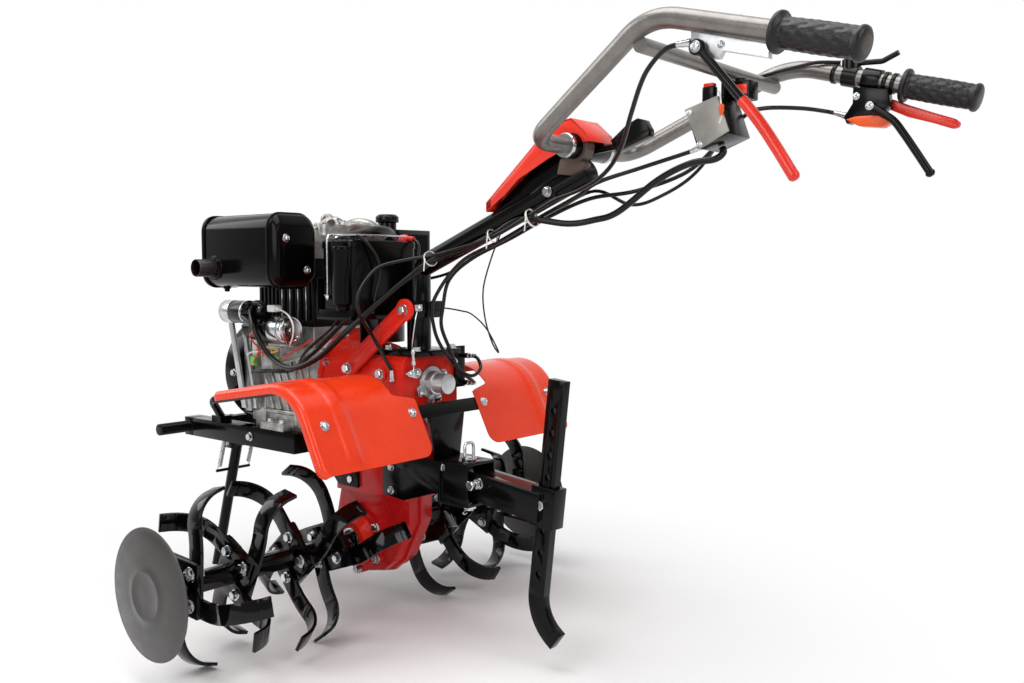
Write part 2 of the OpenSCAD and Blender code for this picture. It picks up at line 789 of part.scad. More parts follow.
module fender_bar() {
    bar_w = 30;
    bar_t = 5;
    inner = screw_at - back_out * (fender_t + fit);
    color(BLACK) union() {
        across(2 * (fender_in + fender_w - 14)) polygon([inner + back_dir * bar_w / 2, inner - back_dir * bar_w / 2,
            inner - back_dir * bar_w / 2 - back_out * bar_t, inner + back_dir * bar_w / 2 - back_out * bar_t]);
        translate([inner.x + 2, 0, hitch_high]) rotate([90, 0, 90]) linear_extrude(height = 5)
            polygon([[-40, 0], [40, 0], [56, screw_z - hitch_high - 4], [-56, screw_z - hitch_high - 4]]);
    }
}

// Tube stay from the engine rail to the front of a fender
function fender_z(x) = fender_front.y + (fender_front.x - x) * (fender_top.y - fender_front.y)
    / (fender_front.x - fender_top.x);
stay_y = 168;
fender_slope = atan2(fender_top.y - fender_front.y, fender_front.x - fender_top.x);
stay_drop = (fender_t + fit + stay_d / 2) / cos(fender_slope);

module fender_stay() {
    elbow_x = 404;
    end_x = 10;
    foot = [elbow_x + 30, rail_y - 10, base_z + 12];
    foot_size = [38, 34, 17];
    union() {
        bent_bar([foot, [elbow_x, stay_y, fender_z(elbow_x) - stay_drop],
            [end_x, stay_y, fender_z(end_x) - stay_drop]], stay_d, [36]);
        translate([foot.x - foot_size.x / 2, foot.y - foot_size.y / 2, base_z]) cube(foot_size);
    }
}

module fender_stay_left() {
    color(BLACK) fender_stay();
}

module fender_stay_right() {
    color(BLACK) mirror([0, 1, 0]) fender_stay();
}

// Hitch bracket: plates on the leg and the box that takes the drawbar
module hitch_bracket() {
    wall = plate;
    color(BLACK) difference() {
        union() {
            for (s = [-1, 1])
                translate([0, s * (leg_w / 2 + wall / 2), 0]) across(wall)
                    polygon([[-92, hitch_high - 8], [-92, hitch_low - 2], [-160, hitch_low - 8], [-250, hitch_low + 20],
                        [hitch_x - wall, hitch_low + 24], [hitch_x - wall, hitch_high], [-130, hitch_high]]);
            translate([hitch_x - wall, -leg_w / 2 - wall, hitch_low]) cube([wall, leg_w + 2 * wall, hitch_high - hitch_low]);
            translate([hitch_end, -hitch_w / 2, hitch_low]) cube([hitch_x - hitch_end, hitch_w, hitch_high - hitch_low]);
            translate([hitch_x - wall, -leg_w / 2 - wall, hitch_high - wall]) cube([36, leg_w + 2 * wall, wall]);
        }
        translate([hitch_end - 1, -hitch_w / 2 + wall, hitch_low + wall])
            cube([hitch_x - wall - hitch_end + 1, hitch_w - 2 * wall, hitch_high - hitch_low - 2 * wall]);
        translate([pin_at.x, 0, hitch_low - 1]) cylinder(d = pin_d + 2 * fit, h = hitch_high - hitch_low + 2);
    }
}

module hitch_pin() {
    head = 6;
    color(STEEL) translate([pin_at.x, 0, hitch_low - 16]) union() {
        cylinder(d = pin_d, h = hitch_high - hitch_low + 16);
        translate([0, 0, hitch_high - hitch_low + 16]) cylinder(d = pin_d + 14, h = head);
        bent_bar([[0, -14, 113], [0, -14, 148], [0, 14, 148], [0, 14, 113]], 7, [10, 10]);
    }
}

// Drawbar with the sleeve that holds the stake, drooping to the rear
module drawbar() {
    wall = 10;
    color(BLACK) difference() {
        translate(pin_at) rotate([0, -droop, 0]) union() {
            translate([-sleeve_out, -draw_w / 2, -draw_h / 2]) cube([sleeve_out + 24, draw_w, draw_h]);
            translate([-sleeve_out - stake_w / 2 - wall, -stake_t / 2 - wall, -sleeve_h / 2])
                cube([stake_w + 2 * wall, stake_t + 2 * wall, sleeve_h]);
        }
        translate([pin_at.x, 0, hitch_low]) cylinder(d = pin_d + 2 * fit, h = hitch_high - hitch_low);
        translate(pin_at) rotate([0, -droop, 0])
            translate([-sleeve_out - stake_w / 2 - fit, -stake_t / 2 - fit, -200])
                cube([stake_w + 2 * fit, stake_t + 2 * fit, 400]);
    }
}

// Furrow stake: drilled bar with its foot curved to the rear
module stake() {
    holes = [for (i = [1 : 4]) i * stake_pitch + 16, for (i = [1 : 3]) -i * stake_pitch - 6];
    foot_lap = lap(stake_curve_r);
    color(BLACK) translate(pin_at) rotate([0, -droop, 0]) translate([-sleeve_out, 0, 0]) difference() {
        union() {
            translate([-stake_w / 2, -stake_t / 2, -stake_down - foot_lap])
                cube([stake_w, stake_t, stake_up + stake_down + foot_lap]);
            translate([-stake_curve_r, 0, -stake_down]) rotate([-90, 0, 0]) rotate_extrude(angle = stake_curve_a)
                translate([stake_curve_r - stake_w / 2 + seat, -stake_t / 2 + seat])
                    square([stake_w - 2 * seat, stake_t - 2 * seat]);
            translate([-stake_curve_r, 0, -stake_down]) rotate([0, stake_curve_a, 0])
                translate([stake_curve_r - stake_w / 2, -stake_t / 2, -stake_tip])
                    cube([stake_w, stake_t, stake_tip + foot_lap]);
        }
        for (s = holes)
            translate([0, 0, s]) cyl_y(stake_hole_d, stake_t + 2);
    }
}

module axle_shaft() {
    color(STEEL) translate([0, 0, axle_h]) cyl_y(shaft_d, 2 * shaft_end);
}

// A tine that points along X beside the hub, curves back to the middle and bends towards Y
module tine() {
    root = -flange_side / 2 + 6;
    thin_w = tine_w - 2 * seat;
    thin_t = tine_t - 2 * seat;
    curve_lap = lap(tine_curve_r);
    bend_lap = lap(tine_bend_r);
    translate([0, 0, tine_off]) {
        translate([root, -tine_t / 2, -tine_w / 2]) cube([stem_end + curve_lap - root, tine_t, tine_w]);
        translate([stem_end, 0, -tine_curve_r]) rotate([-90, 0, 0]) rotate([0, 0, -90])
            rotate_extrude(angle = tine_curve_a)
                translate([tine_curve_r - thin_w / 2, -thin_t / 2]) square([thin_w, thin_t]);
        translate([stem_end + tine_curve_r * sin(tine_curve_a), 0, -tine_curve_r * (1 - cos(tine_curve_a))])
            rotate([0, tine_curve_a, 0]) {
                translate([-curve_lap, -tine_t / 2, -tine_w / 2]) cube([curve_lap + bend_lap, tine_t, tine_w]);
                translate([0, tine_bend_r, 0]) rotate([0, 0, -90]) rotate_extrude(angle = tine_bend_a)
                    translate([tine_bend_r - thin_t / 2, -thin_w / 2]) square([thin_t, thin_w]);
                translate([tine_bend_r * sin(tine_bend_a), tine_bend_r * (1 - cos(tine_bend_a)), 0])
                    rotate([0, 0, tine_bend_a]) translate([-bend_lap, -tine_t / 2, -tine_w / 2])
                        cube([tine_end + bend_lap, tine_t, tine_w]);
            }
    }
}

// Hexagonal hub tube with square flanges, each with four tines along its sides
module reel() {
    translate([0, 0, axle_h]) difference() {
        union() {
            translate([0, hub_in, 0]) rotate([-90, 0, 0]) linear_extrude(height = hub_out - hub_in)
                circle(d = hub_od, $fn = 6);
            for (i = [0 : flanges - 1])
                translate([0, flange_first + flange_table[i][0], 0])
                    rotate([0, 90 + tip_step * (i + 0.5) + tip_a, 0]) {
                        cube([flange_side, flange_t, flange_side], center = true);
                        for (k = [0 : tines_a_flange - 1])
                            rotate([0, 90 * k, 0]) mirror([0, flange_table[i][1] && k % 2 == 0 ? 0 : 1, 0])
                                translate([0, (flange_t + tine_t) / 2, 0]) tine();
                    }
        }
        translate([0, (hub_in + hub_out) / 2, 0]) cyl_y(hub_bore, hub_out - hub_in + 2);
    }
}

module reel_left() {
    color(BLACK) reel();
}

module reel_right() {
    color(BLACK) mirror([0, 1, 0]) reel();
}

// Dished guard disc with a boss on the hub tube's end
module guard_disc() {
    translate([0, hub_out, axle_h]) rotate([-90, 0, 0]) union() {
        rotate_extrude() intersection() {
            translate([0, disc_rise - disc_dome_r]) difference() {
                circle(r = disc_dome_r, $fn = 180);
                circle(r = disc_dome_r - disc_t, $fn = 180);
            }
            square([disc_r, disc_rise]);
        }
        cylinder(d = hub_od + 30, h = disc_rise - disc_t / 2);
    }
}

module disc_left() {
    color("#3A3A3C") guard_disc();
}

module disc_right() {
    color("#3A3A3C") mirror([0, 1, 0]) guard_disc();
}

// Flip stand: hub on its bolt, tube, spring bar and a foot cut level with the floor
module stand_leg() {
    color(BLACK) difference() {
        union() {
            translate(stand_pivot) cyl_y(stand_hub_d, stand_hub_w);
            translate(stand_pivot) rotate([0, 180 - stand_a, 0]) cylinder(d = stand_d, h = stand_len + 10);
            translate(stand_pivot) rotate([0, 180 - stand_a, 0]) translate([0, 0, spring_low_s])
                cyl_y(peg_d, 2 * spring_y + spring_d);
        }
        translate(stand_pivot) cyl_y(bolt_d + 2 * fit, stand_hub_w + 2);
        translate([stand_foot_x - 100, -100, -100]) cube([200, 200, 100]);
    }
}

module stand_bolt() {
    w = stand_hub_w + 2 * run + 2 * plate;
    color(STEEL) translate(stand_pivot) union() {
        cyl_y(bolt_d, w);
        for (s = [-1, 1])
            translate([0, s * (w / 2 + 4), 0]) cyl_y(20, 8);
    }
}

// Close-wound spring between the stand's bar and the frame's peg
module stand_spring() {
    low = stand_pivot + spring_low_s * [sin(stand_a), 0, -cos(stand_a)] + [0, spring_y, 0];
    d = unit(spring_top - low);
    whole = norm(spring_top - low) - peg_d - 2 * fit;
    turns = floor((whole - 12) / spring_wire);
    coil_r = (spring_d - spring_wire) / 2;
    translate(low + d * (peg_d / 2 + fit)) rotate(aim(d)) union() {
        cylinder(d = 4, h = whole);
        translate([0, 0, (whole - turns * spring_wire) / 2]) rotate_extrude() {
            square([coil_r, turns * spring_wire]);
            for (i = [0 : turns - 1])
                translate([coil_r, (i + 0.5) * spring_wire]) circle(d = spring_wire, $fn = 16);
        }
    }
}

module stand_spring_left() {
    color(STEEL) stand_spring();
}

module stand_spring_right() {
    color(STEEL) mirror([0, 1, 0]) stand_spring();
}

// Handlebar tube with its cross brace
bar_low = [pivot.x, bar_low_y, pivot.z];
bar_dir = unit(bar_end - bar_high);

module handlebar() {
    color(GUNMETAL) union() {
        bent_bar([bar_end, bar_high, bar_low, flip_y(bar_low), flip_y(bar_high), flip_y(bar_end)], bar_d,
            [bar_bend_high, bar_bend_low, bar_bend_low, bar_bend_high]);
        translate(brace_at) cyl_y(brace_d, 2 * (bar_high.y - 12));
    }
}

// Rubber grip with rings, a front flange and a closed end
module grip() {
    rings = 8;
    step = (grip_len - 24) / rings;
    bore = bar_d / 2 + fit / 2;
    translate(bar_end + bar_dir * grip_wall) rotate(aim(-bar_dir)) difference() {
        rotate_extrude() {
            square([grip_d / 2 - 2, grip_len]);
            square([grip_d / 2 + 2, 10]);
            translate([0, grip_len - 9]) square([grip_flange_d / 2, 9]);
            for (i = [0 : rings - 1])
                translate([0, 12 + step * (i + 0.15)]) square([grip_d / 2, step * 0.7]);
        }
        translate([0, 0, grip_wall]) cylinder(r = bore, h = grip_len);
    }
}

module grip_left() {
    color(RUBBER) grip();
}

module grip_right() {
    color(RUBBER) mirror([0, 1, 0]) grip();
}

// Switch console hung from the cross brace, tilted with the handlebar
console_at = [-872, -50, 1084];
console_size = [64, 84, 72];
console_a = 20;

module console() {
    hanger = [6, 40, brace_at.z - brace_d / 2 - console_at.z];
    color("#7E7B77") difference() {
        union() {
            translate(console_at) rotate([0, console_a, 0]) cube(console_size, center = true);
            translate([brace_at.x - 3, console_at.y - hanger.y / 2, console_at.z]) cube(hanger + [0, 0, 6]);
        }
        translate(brace_at) cyl_y(brace_d + fit, 2 * bar_high.y);
    }
}

// A ring round the handlebar at a distance from the grip's end, not yet bored
module bar_ring(s, w, wall) {
    translate(bar_end - bar_dir * s) rotate(aim(bar_dir)) cylinder(d = bar_d + 2 * wall, h = w, center = true);
}

// The bar's own space, taken out of what clamps on it
module bar_bore() {
    bar_between(bar_end, bar_high, bar_d + fit);
}

// Left hand: clutch lever on a bracket under the bar
clutch_pivot = [-1006, 265.6, 1149];

module clutch_bracket() {
    color(ALU) difference() {
        translate([0, clutch_pivot.y - 13.6, 0]) across(12)
            polygon([[-990, 1184], [-1114, 1152], [-1114, 1121], [-1042, 1141], [-1036, 1131], [-1008, 1134], [-990, 1144]]);
        bar_bore();
    }
}

module clutch_lever() {
    color(RED) union() {
        translate(clutch_pivot) cyl_y(24, 14);
        bent_bar([clutch_pivot, [-1100, clutch_pivot.y, 1042], [-1159, clutch_pivot.y, 953]], 14, [60]);
    }
}

// Right hand: brake lever with its bracket, safety lever and thumb throttle
function right_bar(s) = flip_y(bar_end - bar_dir * s);
brake_s = 187;
brake_y = -250;
brake_w = 24;

module brake_bracket() {
    color(BLACK) difference() {
        union() {
            mirror([0, 1, 0]) bar_ring(brake_s, 32, 4);
            translate([0, brake_y, 0]) across(brake_w) polygon([[-1044, 1158], [-1106, 1146], [-1110, 1116],
                [-1092, 1104], [-1034, 1092], [-1028, 1104], [-1044, 1128]]);
        }
        mirror([0, 1, 0]) bar_bore();
    }
}

module brake_lever() {
    y = brake_y + brake_w / 2 + 6.5 + fit;
    color(BLACK) bent_bar([[-1080, y, 1118], [-1128, y, 1083], [-1188, y, 991]], 13, [40]);
}

module safety_lever() {
    y = brake_y - brake_w / 2 - 7 - fit;
    color(RED) bent_bar([[-1092, y, 1130], [-1136, y, 1107], [-1216, y, 1078]], 14, [50]);
}

module throttle_lever() {
    s = 228;
    at = right_bar(s);
    color(BLACK) difference() {
        union() {
            mirror([0, 1, 0]) bar_ring(s, 26, 4);
            translate(at + [0, 0, bar_d / 2 - 4]) cylinder(d = 34, h = 18);
            translate(at) bent_bar([[0, 0, 23], [-57, 0, 20], [-86, 0, 32]], 10, [14]);
        }
        mirror([0, 1, 0]) bar_bore();
    }
}

// Cable routes, each from the handlebar down the column
clutch_route = [[-988.4, 254, 1160.4], [-980, 254, 1160.6], [-944, 252, 1158], [-907, 240, 1137], [-879, 222, 1114],
    [-842, 190, 1078], [-784, 135, 1028], [-718, 90, 994], [-642, 58, 973], [-570, 42, 958], [-500, 34, 930],
    [-400, 34, 889], [-300, 52, 862], [-253, 62, 853], [-203, 100, 842], [-175, 133, 830], [-168, 160, 808],
    [-171, 190, 771], [-168, 183, 731], [-130, 113, 678], [-157, 98, 624], [-165, 90.6, 600], [-166, 89.6, 581]];
throttle_route = [[-1013.4, -254, 1208], [-1005, -250, 1208.6], [-975, -236, 1210], [-947, -228, 1206],
    [-902, -213, 1197], [-868, -196, 1184], [-858, -172, 1150], [-846, -142, 1096], [-800, -104, 1010],
    [-740, -78, 966], [-680, -62, 950], [-600, -54, 980], [-500, -54, 944], [-400, -54, 903], [-300, -54, 862],
    [-190, -60, 815], [-60, -60, 800], [30, -80, 830], [83.4, -90, 867.6]];
reverse_route = [[-1027.5, -250, 1108], [-1016, -251, 1112], [-990, -248, 1120], [-957, -205, 1124],
    [-917, -140, 1120], [-893, -112, 1106], [-850, -102, 1062], [-790, -84, 1008], [-700, -50, 975],
    [-600, -38, 964], [-500, -36, 932], [-400, -36, 891], [-300, -22, 848], [-264, 12, 802], [-254, 22, 740],
    [-252, 24, 700], [-258, 4, 650], [-262, -20, 606], [-272, -52, 589], [-266, -87, 603], [-248, -95, 625],
    [-217.6, -98, 628]];
shift_route = [[-850.9, -30, 1046.5], [-832, -29.5, 1039.7], [-811, -28, 1034], [-726, -20, 1014],
    [-645, 0, 991], [-600, 6, 966], [-500, -6, 930], [-400, 0, 884], [-300, 14, 840], [-242, 37, 759],
    [-242, 38, 702], [-248, 17, 652], [-252, -36, 599], [-250, -78, 574],
    [-233, -96.5, 566.6], [-217.8, -98, 566]];
harness_route = [[-875.1, -60, 1044.6], [-878, -59, 1035], [-862, -56, 1024], [-815, -50, 1019], [-752, -42, 992],
    [-671, -30, 935], [-621, -22, 921], [-566, -8, 915], [-473, 20, 925.6], [-400, 23, 897], [-320, 32, 864],
    [-244, 50, 840], [-182, 125, 766], [-126, 180, 696], [-56, 205, 634], [37, 208, 606], [120, 200, 628],
    [163, 200, 667], [180, 199, 695], [215, 181, 730]];

module cable_clutch() {
    color(BLACK) cable(clutch_route, 8);
}

module cable_throttle() {
    color(BLACK) cable(throttle_route, 7);
}

module cable_reverse() {
    color(BLACK) cable(reverse_route, 8);
}

module cable_shift() {
    color(BLACK) cable(shift_route, 8);
}

module harness() {
    color(BLACK) cable(harness_route, 13);
}

gearbox_leg();
bearing_cover_left();
bearing_cover_right();
gearbox_case();
pto_cap();
drain_plug();
brace_bar();
column();
column_cover();
lock_lever();
cable_bracket();
crankcase();
engine_cylinder();
cylinder_head();
recoil_housing();
muffler();
tail_pipe();
fuel_tank();
tank_cap();
air_cleaner();
battery();
battery_tray();
starter_motor();
solenoid();
engine_frame();
front_guard();
fender_left();
fender_right();
fender_bar();
fender_stay_left();
fender_stay_right();
hitch_bracket();
hitch_pin();
drawbar();
stake();
axle_shaft();
reel_left();
reel_right();
disc_left();
disc_right();
stand_leg();
stand_bolt();
stand_spring_left();
stand_spring_right();
handlebar();
grip_left();
grip_right();
console();
clutch_bracket();
clutch_lever();
brake_bracket();
brake_lever();
safety_lever();
throttle_lever();
cable_clutch();
cable_throttle();
cable_reverse();
cable_shift();
harness();
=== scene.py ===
"""Looks of a walk-behind rotary tiller: paints, castings, fasteners, cables and the studio round it."""
import json
import math

import bpy
from mathutils import Matrix, Vector


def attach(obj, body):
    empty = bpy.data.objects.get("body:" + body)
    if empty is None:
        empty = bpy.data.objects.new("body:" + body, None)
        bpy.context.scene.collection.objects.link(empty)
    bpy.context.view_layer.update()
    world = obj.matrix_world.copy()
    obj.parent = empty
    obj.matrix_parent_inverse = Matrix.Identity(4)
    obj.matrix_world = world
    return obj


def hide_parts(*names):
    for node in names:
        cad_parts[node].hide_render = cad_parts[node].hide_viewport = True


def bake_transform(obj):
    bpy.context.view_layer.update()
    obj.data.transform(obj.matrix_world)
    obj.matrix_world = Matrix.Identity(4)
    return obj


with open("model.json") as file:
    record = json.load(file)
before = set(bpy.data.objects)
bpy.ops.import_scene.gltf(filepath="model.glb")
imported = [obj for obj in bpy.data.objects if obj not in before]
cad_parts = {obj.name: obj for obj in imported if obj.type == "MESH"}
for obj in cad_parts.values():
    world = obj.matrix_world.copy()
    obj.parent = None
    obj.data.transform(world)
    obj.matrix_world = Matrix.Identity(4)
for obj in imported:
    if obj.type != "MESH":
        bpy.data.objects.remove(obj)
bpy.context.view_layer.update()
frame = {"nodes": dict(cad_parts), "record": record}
nodes = frame["nodes"]
BODY_OF = {name: body for body, names in frame["record"]["behaviour"]["bodies"].items() for name in names}

MM = 0.001
SIDES = ((1, "left"), (-1, "right"))


# Studio: camera, lamps, floor and backdrop

CAMERA_AT = (-1.745, 1.578, 0.825)
CAMERA_YAW = math.radians(-50.21)
CAMERA_PITCH = math.radians(-4.16)
CAMERA_LENS, FILM_WIDTH = 34.9, 36
# Each softbox: its place, what it points at, its width and height, and its power in watts
LAMPS = {
    "softbox_top": ((-0.3, 0.5, 3.2), (-0.2, 0, 0.5), (2.6, 2.0), 64),
    "softbox_left": ((-0.6, 3.2, 1.9), (-0.2, 0, 0.6), (1.6, 2.2), 40),
    "softbox_rear": ((-3.2, 0.4, 2.2), (-0.2, 0, 0.6), (1.4, 1.8), 28),
    "softbox_front": ((2.4, 1.2, 2.2), (0.1, 0, 0.5), (1.4, 1.8), 26),
}
# Metres from the middle at which the floor begins to fade and is plain white
FADE_FROM, FADE_TO = 0.5, 1.35
# The way in which the camera looks, where the backdrop is white, and the light of the rest
BACKDROP_WAY = (0.62, -0.76, 0.2)
DIM_SIDE, ROOM_LIGHT = 0.3, 0.32


def look_along(yaw, pitch):
    """The direction that a yaw from +X and a pitch above the horizon give."""
    return Vector((math.cos(yaw) * math.cos(pitch), math.sin(yaw) * math.cos(pitch), math.sin(pitch)))


def set_camera():
    """The photograph's standpoint, behind the machine on its left."""
    bpy.ops.object.camera_add(location=CAMERA_AT)
    camera = bpy.context.object
    camera.rotation_euler = look_along(CAMERA_YAW, CAMERA_PITCH).to_track_quat("-Z", "Y").to_euler()
    camera.data.lens = CAMERA_LENS
    camera.data.sensor_width = FILM_WIDTH
    camera.data.clip_end = 60
    bpy.context.scene.camera = camera


def add_lamps():
    """Softboxes that point at the machine."""
    for name, (at, aim, size, watts) in LAMPS.items():
        bpy.ops.object.light_add(type="AREA", location=at)
        lamp = bpy.context.object
        lamp.name = name
        lamp.rotation_euler = (Vector(aim) - Vector(at)).to_track_quat("-Z", "Y").to_euler()
        lamp.data.shape = "RECTANGLE"
        lamp.data.size, lamp.data.size_y = size
        lamp.data.energy = watts


# Colours and shader nodes

def linear(hex_colour):
    """An sRGB hex colour as linear red, green, blue and alpha."""
    parts = [int(hex_colour[i:i + 2], 16) / 255 for i in (1, 3, 5)]
    return tuple(c / 12.92 if c <= 0.04045 else ((c + 0.055) / 1.055) ** 2.4 for c in parts) + (1.0,)


def put(tree, kind, feeds=None, **settings):
    """Adds a shader node with its settings; each input takes a value or another node's output."""
    made = tree.nodes.new(kind)
    for key, value in settings.items():
        setattr(made, key, value)
    for key, value in (feeds or {}).items():
        if isinstance(value, bpy.types.NodeSocket):
            tree.links.new(value, made.inputs[key])
        else:
            made.inputs[key].default_value = value
    return made


def new_material(name):
    """A material with an empty tree but for its output."""
    made = bpy.data.materials.new(name)
    made.use_nodes = True
    made.node_tree.nodes.clear()
    return made, made.node_tree


def finish_material(tree, shader):
    """Joins a shader to the material's output."""
    put(tree, "ShaderNodeOutputMaterial", {"Surface": shader.outputs[0]})


def noise(tree, place, scale, detail, rough=0.5):
    """The value of a noise that lies on the piece."""
    feeds = {"Vector": place, "Scale": scale, "Detail": detail, "Roughness": rough}
    return put(tree, "ShaderNodeTexNoise", feeds).outputs[0]


def spread(tree, value, low, high, to_low=0.0, to_high=1.0):
    """A range of a value, spread over another range."""
    feeds = {"Value": value, "From Min": low, "From Max": high, "To Min": to_low, "To Max": to_high}
    return put(tree, "ShaderNodeMapRange", feeds).outputs[0]


def blended(tree, share, first, second):
    """Two colours mixed by a share."""
    return put(tree, "ShaderNodeMix", {0: share, 6: first, 7: second}, data_type="RGBA").outputs[2]


def relief_of(tree, height, strength, depth):
    """A relief of a depth in millimetres."""
    feeds = {"Height": height, "Strength": strength, "Distance": depth * MM}
    return put(tree, "ShaderNodeBump", feeds).outputs[0]


DUST = "#8C8882"


def painted(name, colour, dark, rough, coat, peel_mm, peel_depth, dust=0.0, shine=0.5):
    """Paint on metal: a colour that wanders a little, and the peel of a sprayed or baked coat."""
    made, tree = new_material(name)
    place = put(tree, "ShaderNodeTexCoord").outputs["Object"]
    tone = spread(tree, noise(tree, place, 9, 4, 0.6), 0.35, 0.7)
    tint = blended(tree, tone, linear(dark), linear(colour))
    grime = spread(tree, noise(tree, place, 260, 2), 0.62, 0.8, 0.0, dust)
    smear = noise(tree, place, 24, 5, 0.65)
    peel = noise(tree, place, 1000 / peel_mm, 2)
    shader = put(tree, "ShaderNodeBsdfPrincipled", {
        "Base Color": blended(tree, grime, tint, linear(DUST)),
        "Roughness": spread(tree, smear, 0.3, 0.75, rough * 0.75, rough * 1.35),
        "Normal": relief_of(tree, peel, 0.5, peel_depth),
        "IOR": 1.5, "Specular IOR Level": shine, "Coat Weight": coat, "Coat Roughness": 0.08})
    finish_material(tree, shader)
    return made


def bare_metal(name, colour, dark, rough, grain_mm, grain_depth, metallic=1.0):
    """Bare or plated metal: a grain in its gloss and its colour, and a fine relief."""
    made, tree = new_material(name)
    place = put(tree, "ShaderNodeTexCoord").outputs["Object"]
    grain = noise(tree, place, 1000 / grain_mm, 3, 0.6)
    tone = spread(tree, noise(tree, place, 40, 4, 0.6), 0.36, 0.66)
    shader = put(tree, "ShaderNodeBsdfPrincipled", {
        "Base Color": blended(tree, tone, linear(dark), linear(colour)), "Metallic": metallic,
        "Roughness": spread(tree, grain, 0.3, 0.7, rough * 0.7, rough * 1.4),
        "Normal": relief_of(tree, grain, 0.6, grain_depth)})
    finish_material(tree, shader)
    return made


def moulded(name, colour, dark, rough, grain_mm, grain_depth, shine=0.5):
    """Moulded plastic or rubber: an even colour with the spark grain of its mould."""
    made, tree = new_material(name)
    place = put(tree, "ShaderNodeTexCoord").outputs["Object"]
    tone = spread(tree, noise(tree, place, 14, 3), 0.35, 0.65)
    grain = noise(tree, place, 1000 / grain_mm, 2, 0.6)
    shader = put(tree, "ShaderNodeBsdfPrincipled", {
        "Base Color": blended(tree, tone, linear(dark), linear(colour)),
        "Roughness": spread(tree, grain, 0.3, 0.7, rough * 0.85, rough * 1.2),
        "Normal": relief_of(tree, grain, 0.5, grain_depth), "IOR": 1.5, "Specular IOR Level": shine})
    finish_material(tree, shader)
    return made


# Baked powder coat on the fenders: a glossy orange-red with a soft orange peel
fender_red = painted("powder_coat_orange_red", "#E93F1B", "#DF3615", rough=0.24, coat=0.1, peel_mm=3.0,
                     peel_depth=0.04, shine=0.32)
# Gloss enamel sprayed on sand-cast iron: the casting's grain shows through the red
casting_red = painted("enamel_red_on_cast_iron", "#DC2A1A", "#CA2014", rough=0.24, coat=0.05, peel_mm=1.8,
                      peel_depth=0.25, shine=0.2)
# The same enamel on the gearbox leg, with the same grain, painted darker: a painted shade for the shadow the
# leg stands in
leg_red_painted_shade = painted("enamel_red_on_cast_iron_painted_shade", "#C41B1A", "#B01415", rough=0.24, coat=0.05, peel_mm=1.8,
                  peel_depth=0.25, shine=0.22)
# Injection-moulded ABS of the column cover: a gloss red, smoother than the castings
abs_red = moulded("abs_red", "#E3331C", "#DA2B16", rough=0.25, grain_mm=1.2, grain_depth=0.02)
# Semi-gloss powder coat on steel tube and plate: a deep black with narrow, soft highlights
frame_black = painted("powder_coat_black", "#080706", "#050404", rough=0.16, coat=0.0, peel_mm=2.4,
                      peel_depth=0.05, dust=0.02, shine=0.16)
# Dipped gloss enamel on the forged tines: runs and a wet shine
tine_black = painted("dipped_enamel_black", "#080706", "#050404", rough=0.11, coat=0.0, peel_mm=7.0,
                     peel_depth=0.2, dust=0.02, shine=0.28)
# Heat-proof satin paint on the muffler: an even, dark sheen
muffler_black = painted("heat_paint_satin_black", "#080706", "#050404", rough=0.15, coat=0.0, peel_mm=1.6,
                        peel_depth=0.03, shine=0.11)
# Bare steel of the tail pipe, blued and sooty: a dull grey that darkens in patches
pipe_grey = bare_metal("sooty_steel", "#4A4846", "#3A3837", rough=0.42, grain_mm=1.4, grain_depth=0.06)
# Satin paint on the pressed guard discs: dark grey with a broad, soft light
disc_grey = painted("satin_paint_dark_grey", "#3B3836", "#32302F", rough=0.36, coat=0.1, peel_mm=1.4,
                    peel_depth=0.03)
# Brown primer left bare on the small cast-iron clamp: dull, a little uneven
cast_brown = painted("primer_brown_on_cast_iron", "#5C4B43", "#463830", rough=0.42, coat=0.0, peel_mm=1.4,
                     peel_depth=0.15, dust=0.1, shine=0.35)
# Metallic lacquer on the handlebar tube: a fine grey sparkle under a smooth coat
bar_grey = bare_metal("metallic_lacquer_gunmetal", "#85817D", "#7A7673", rough=0.3, grain_mm=0.9,
                      grain_depth=0.01, metallic=0.75)
# Bright zinc plate on bolts, caps and springs: a cool, clear shine with faint stains
zinc = bare_metal("zinc_plated_steel", "#D6D8DA", "#BFC2C6", rough=0.2, grain_mm=1.2, grain_depth=0.03)
# Turned steel of rings and caps: the brightest metal, almost a mirror
turned_steel = bare_metal("turned_steel", "#DADBDC", "#C4C6C9", rough=0.16, grain_mm=0.7, grain_depth=0.02)
# Sand-cast aluminium of the crankcase and head: pale and grainy, with darker stains
cast_alu = bare_metal("sand_cast_aluminium", "#C4C2BE", "#8E8C88", rough=0.36, grain_mm=1.6, grain_depth=0.2,
                      metallic=0.85)
# Black paint on the finned cylinder's cast aluminium: dull, with the casting's grain
fin_black = painted("paint_black_on_cast_aluminium", "#0E0D0C", "#090808", rough=0.34, coat=0.0, peel_mm=1.6,
                    peel_depth=0.16, shine=0.22)
# Polypropylene of the battery and other moulded black parts: smooth, with a low sheen
pp_black = moulded("polypropylene_black", "#0A0908", "#070605", rough=0.2, grain_mm=0.9, grain_depth=0.015,
                   shine=0.22)
# Moulded rubber of grips, boots and hoses: a soft black without sharp highlights
grip_rubber = moulded("moulded_rubber_black", "#101011", "#0B0B0C", rough=0.4, grain_mm=1.1,
                      grain_depth=0.06, shine=0.4)
# PVC jackets of cables and leads: a smooth black with a thin line of light along each
jacket_black = moulded("pvc_jacket_black", "#0B0A09", "#070606", rough=0.26, grain_mm=0.9, grain_depth=0.01,
                       shine=0.3)
# Satin steel sheet of the switch console: grey with a broad, blurred shine
console_grey = bare_metal("satin_steel_sheet", "#9A9691", "#8D8A85", rough=0.4, grain_mm=0.8,
                          grain_depth=0.02, metallic=0.7)
# Machined aluminium of the power take-off and brackets: pale with a fine cut grain
machined_alu = bare_metal("machined_aluminium", "#CFD0D1", "#B9BBBD", rough=0.34, grain_mm=0.8,
                          grain_depth=0.03)
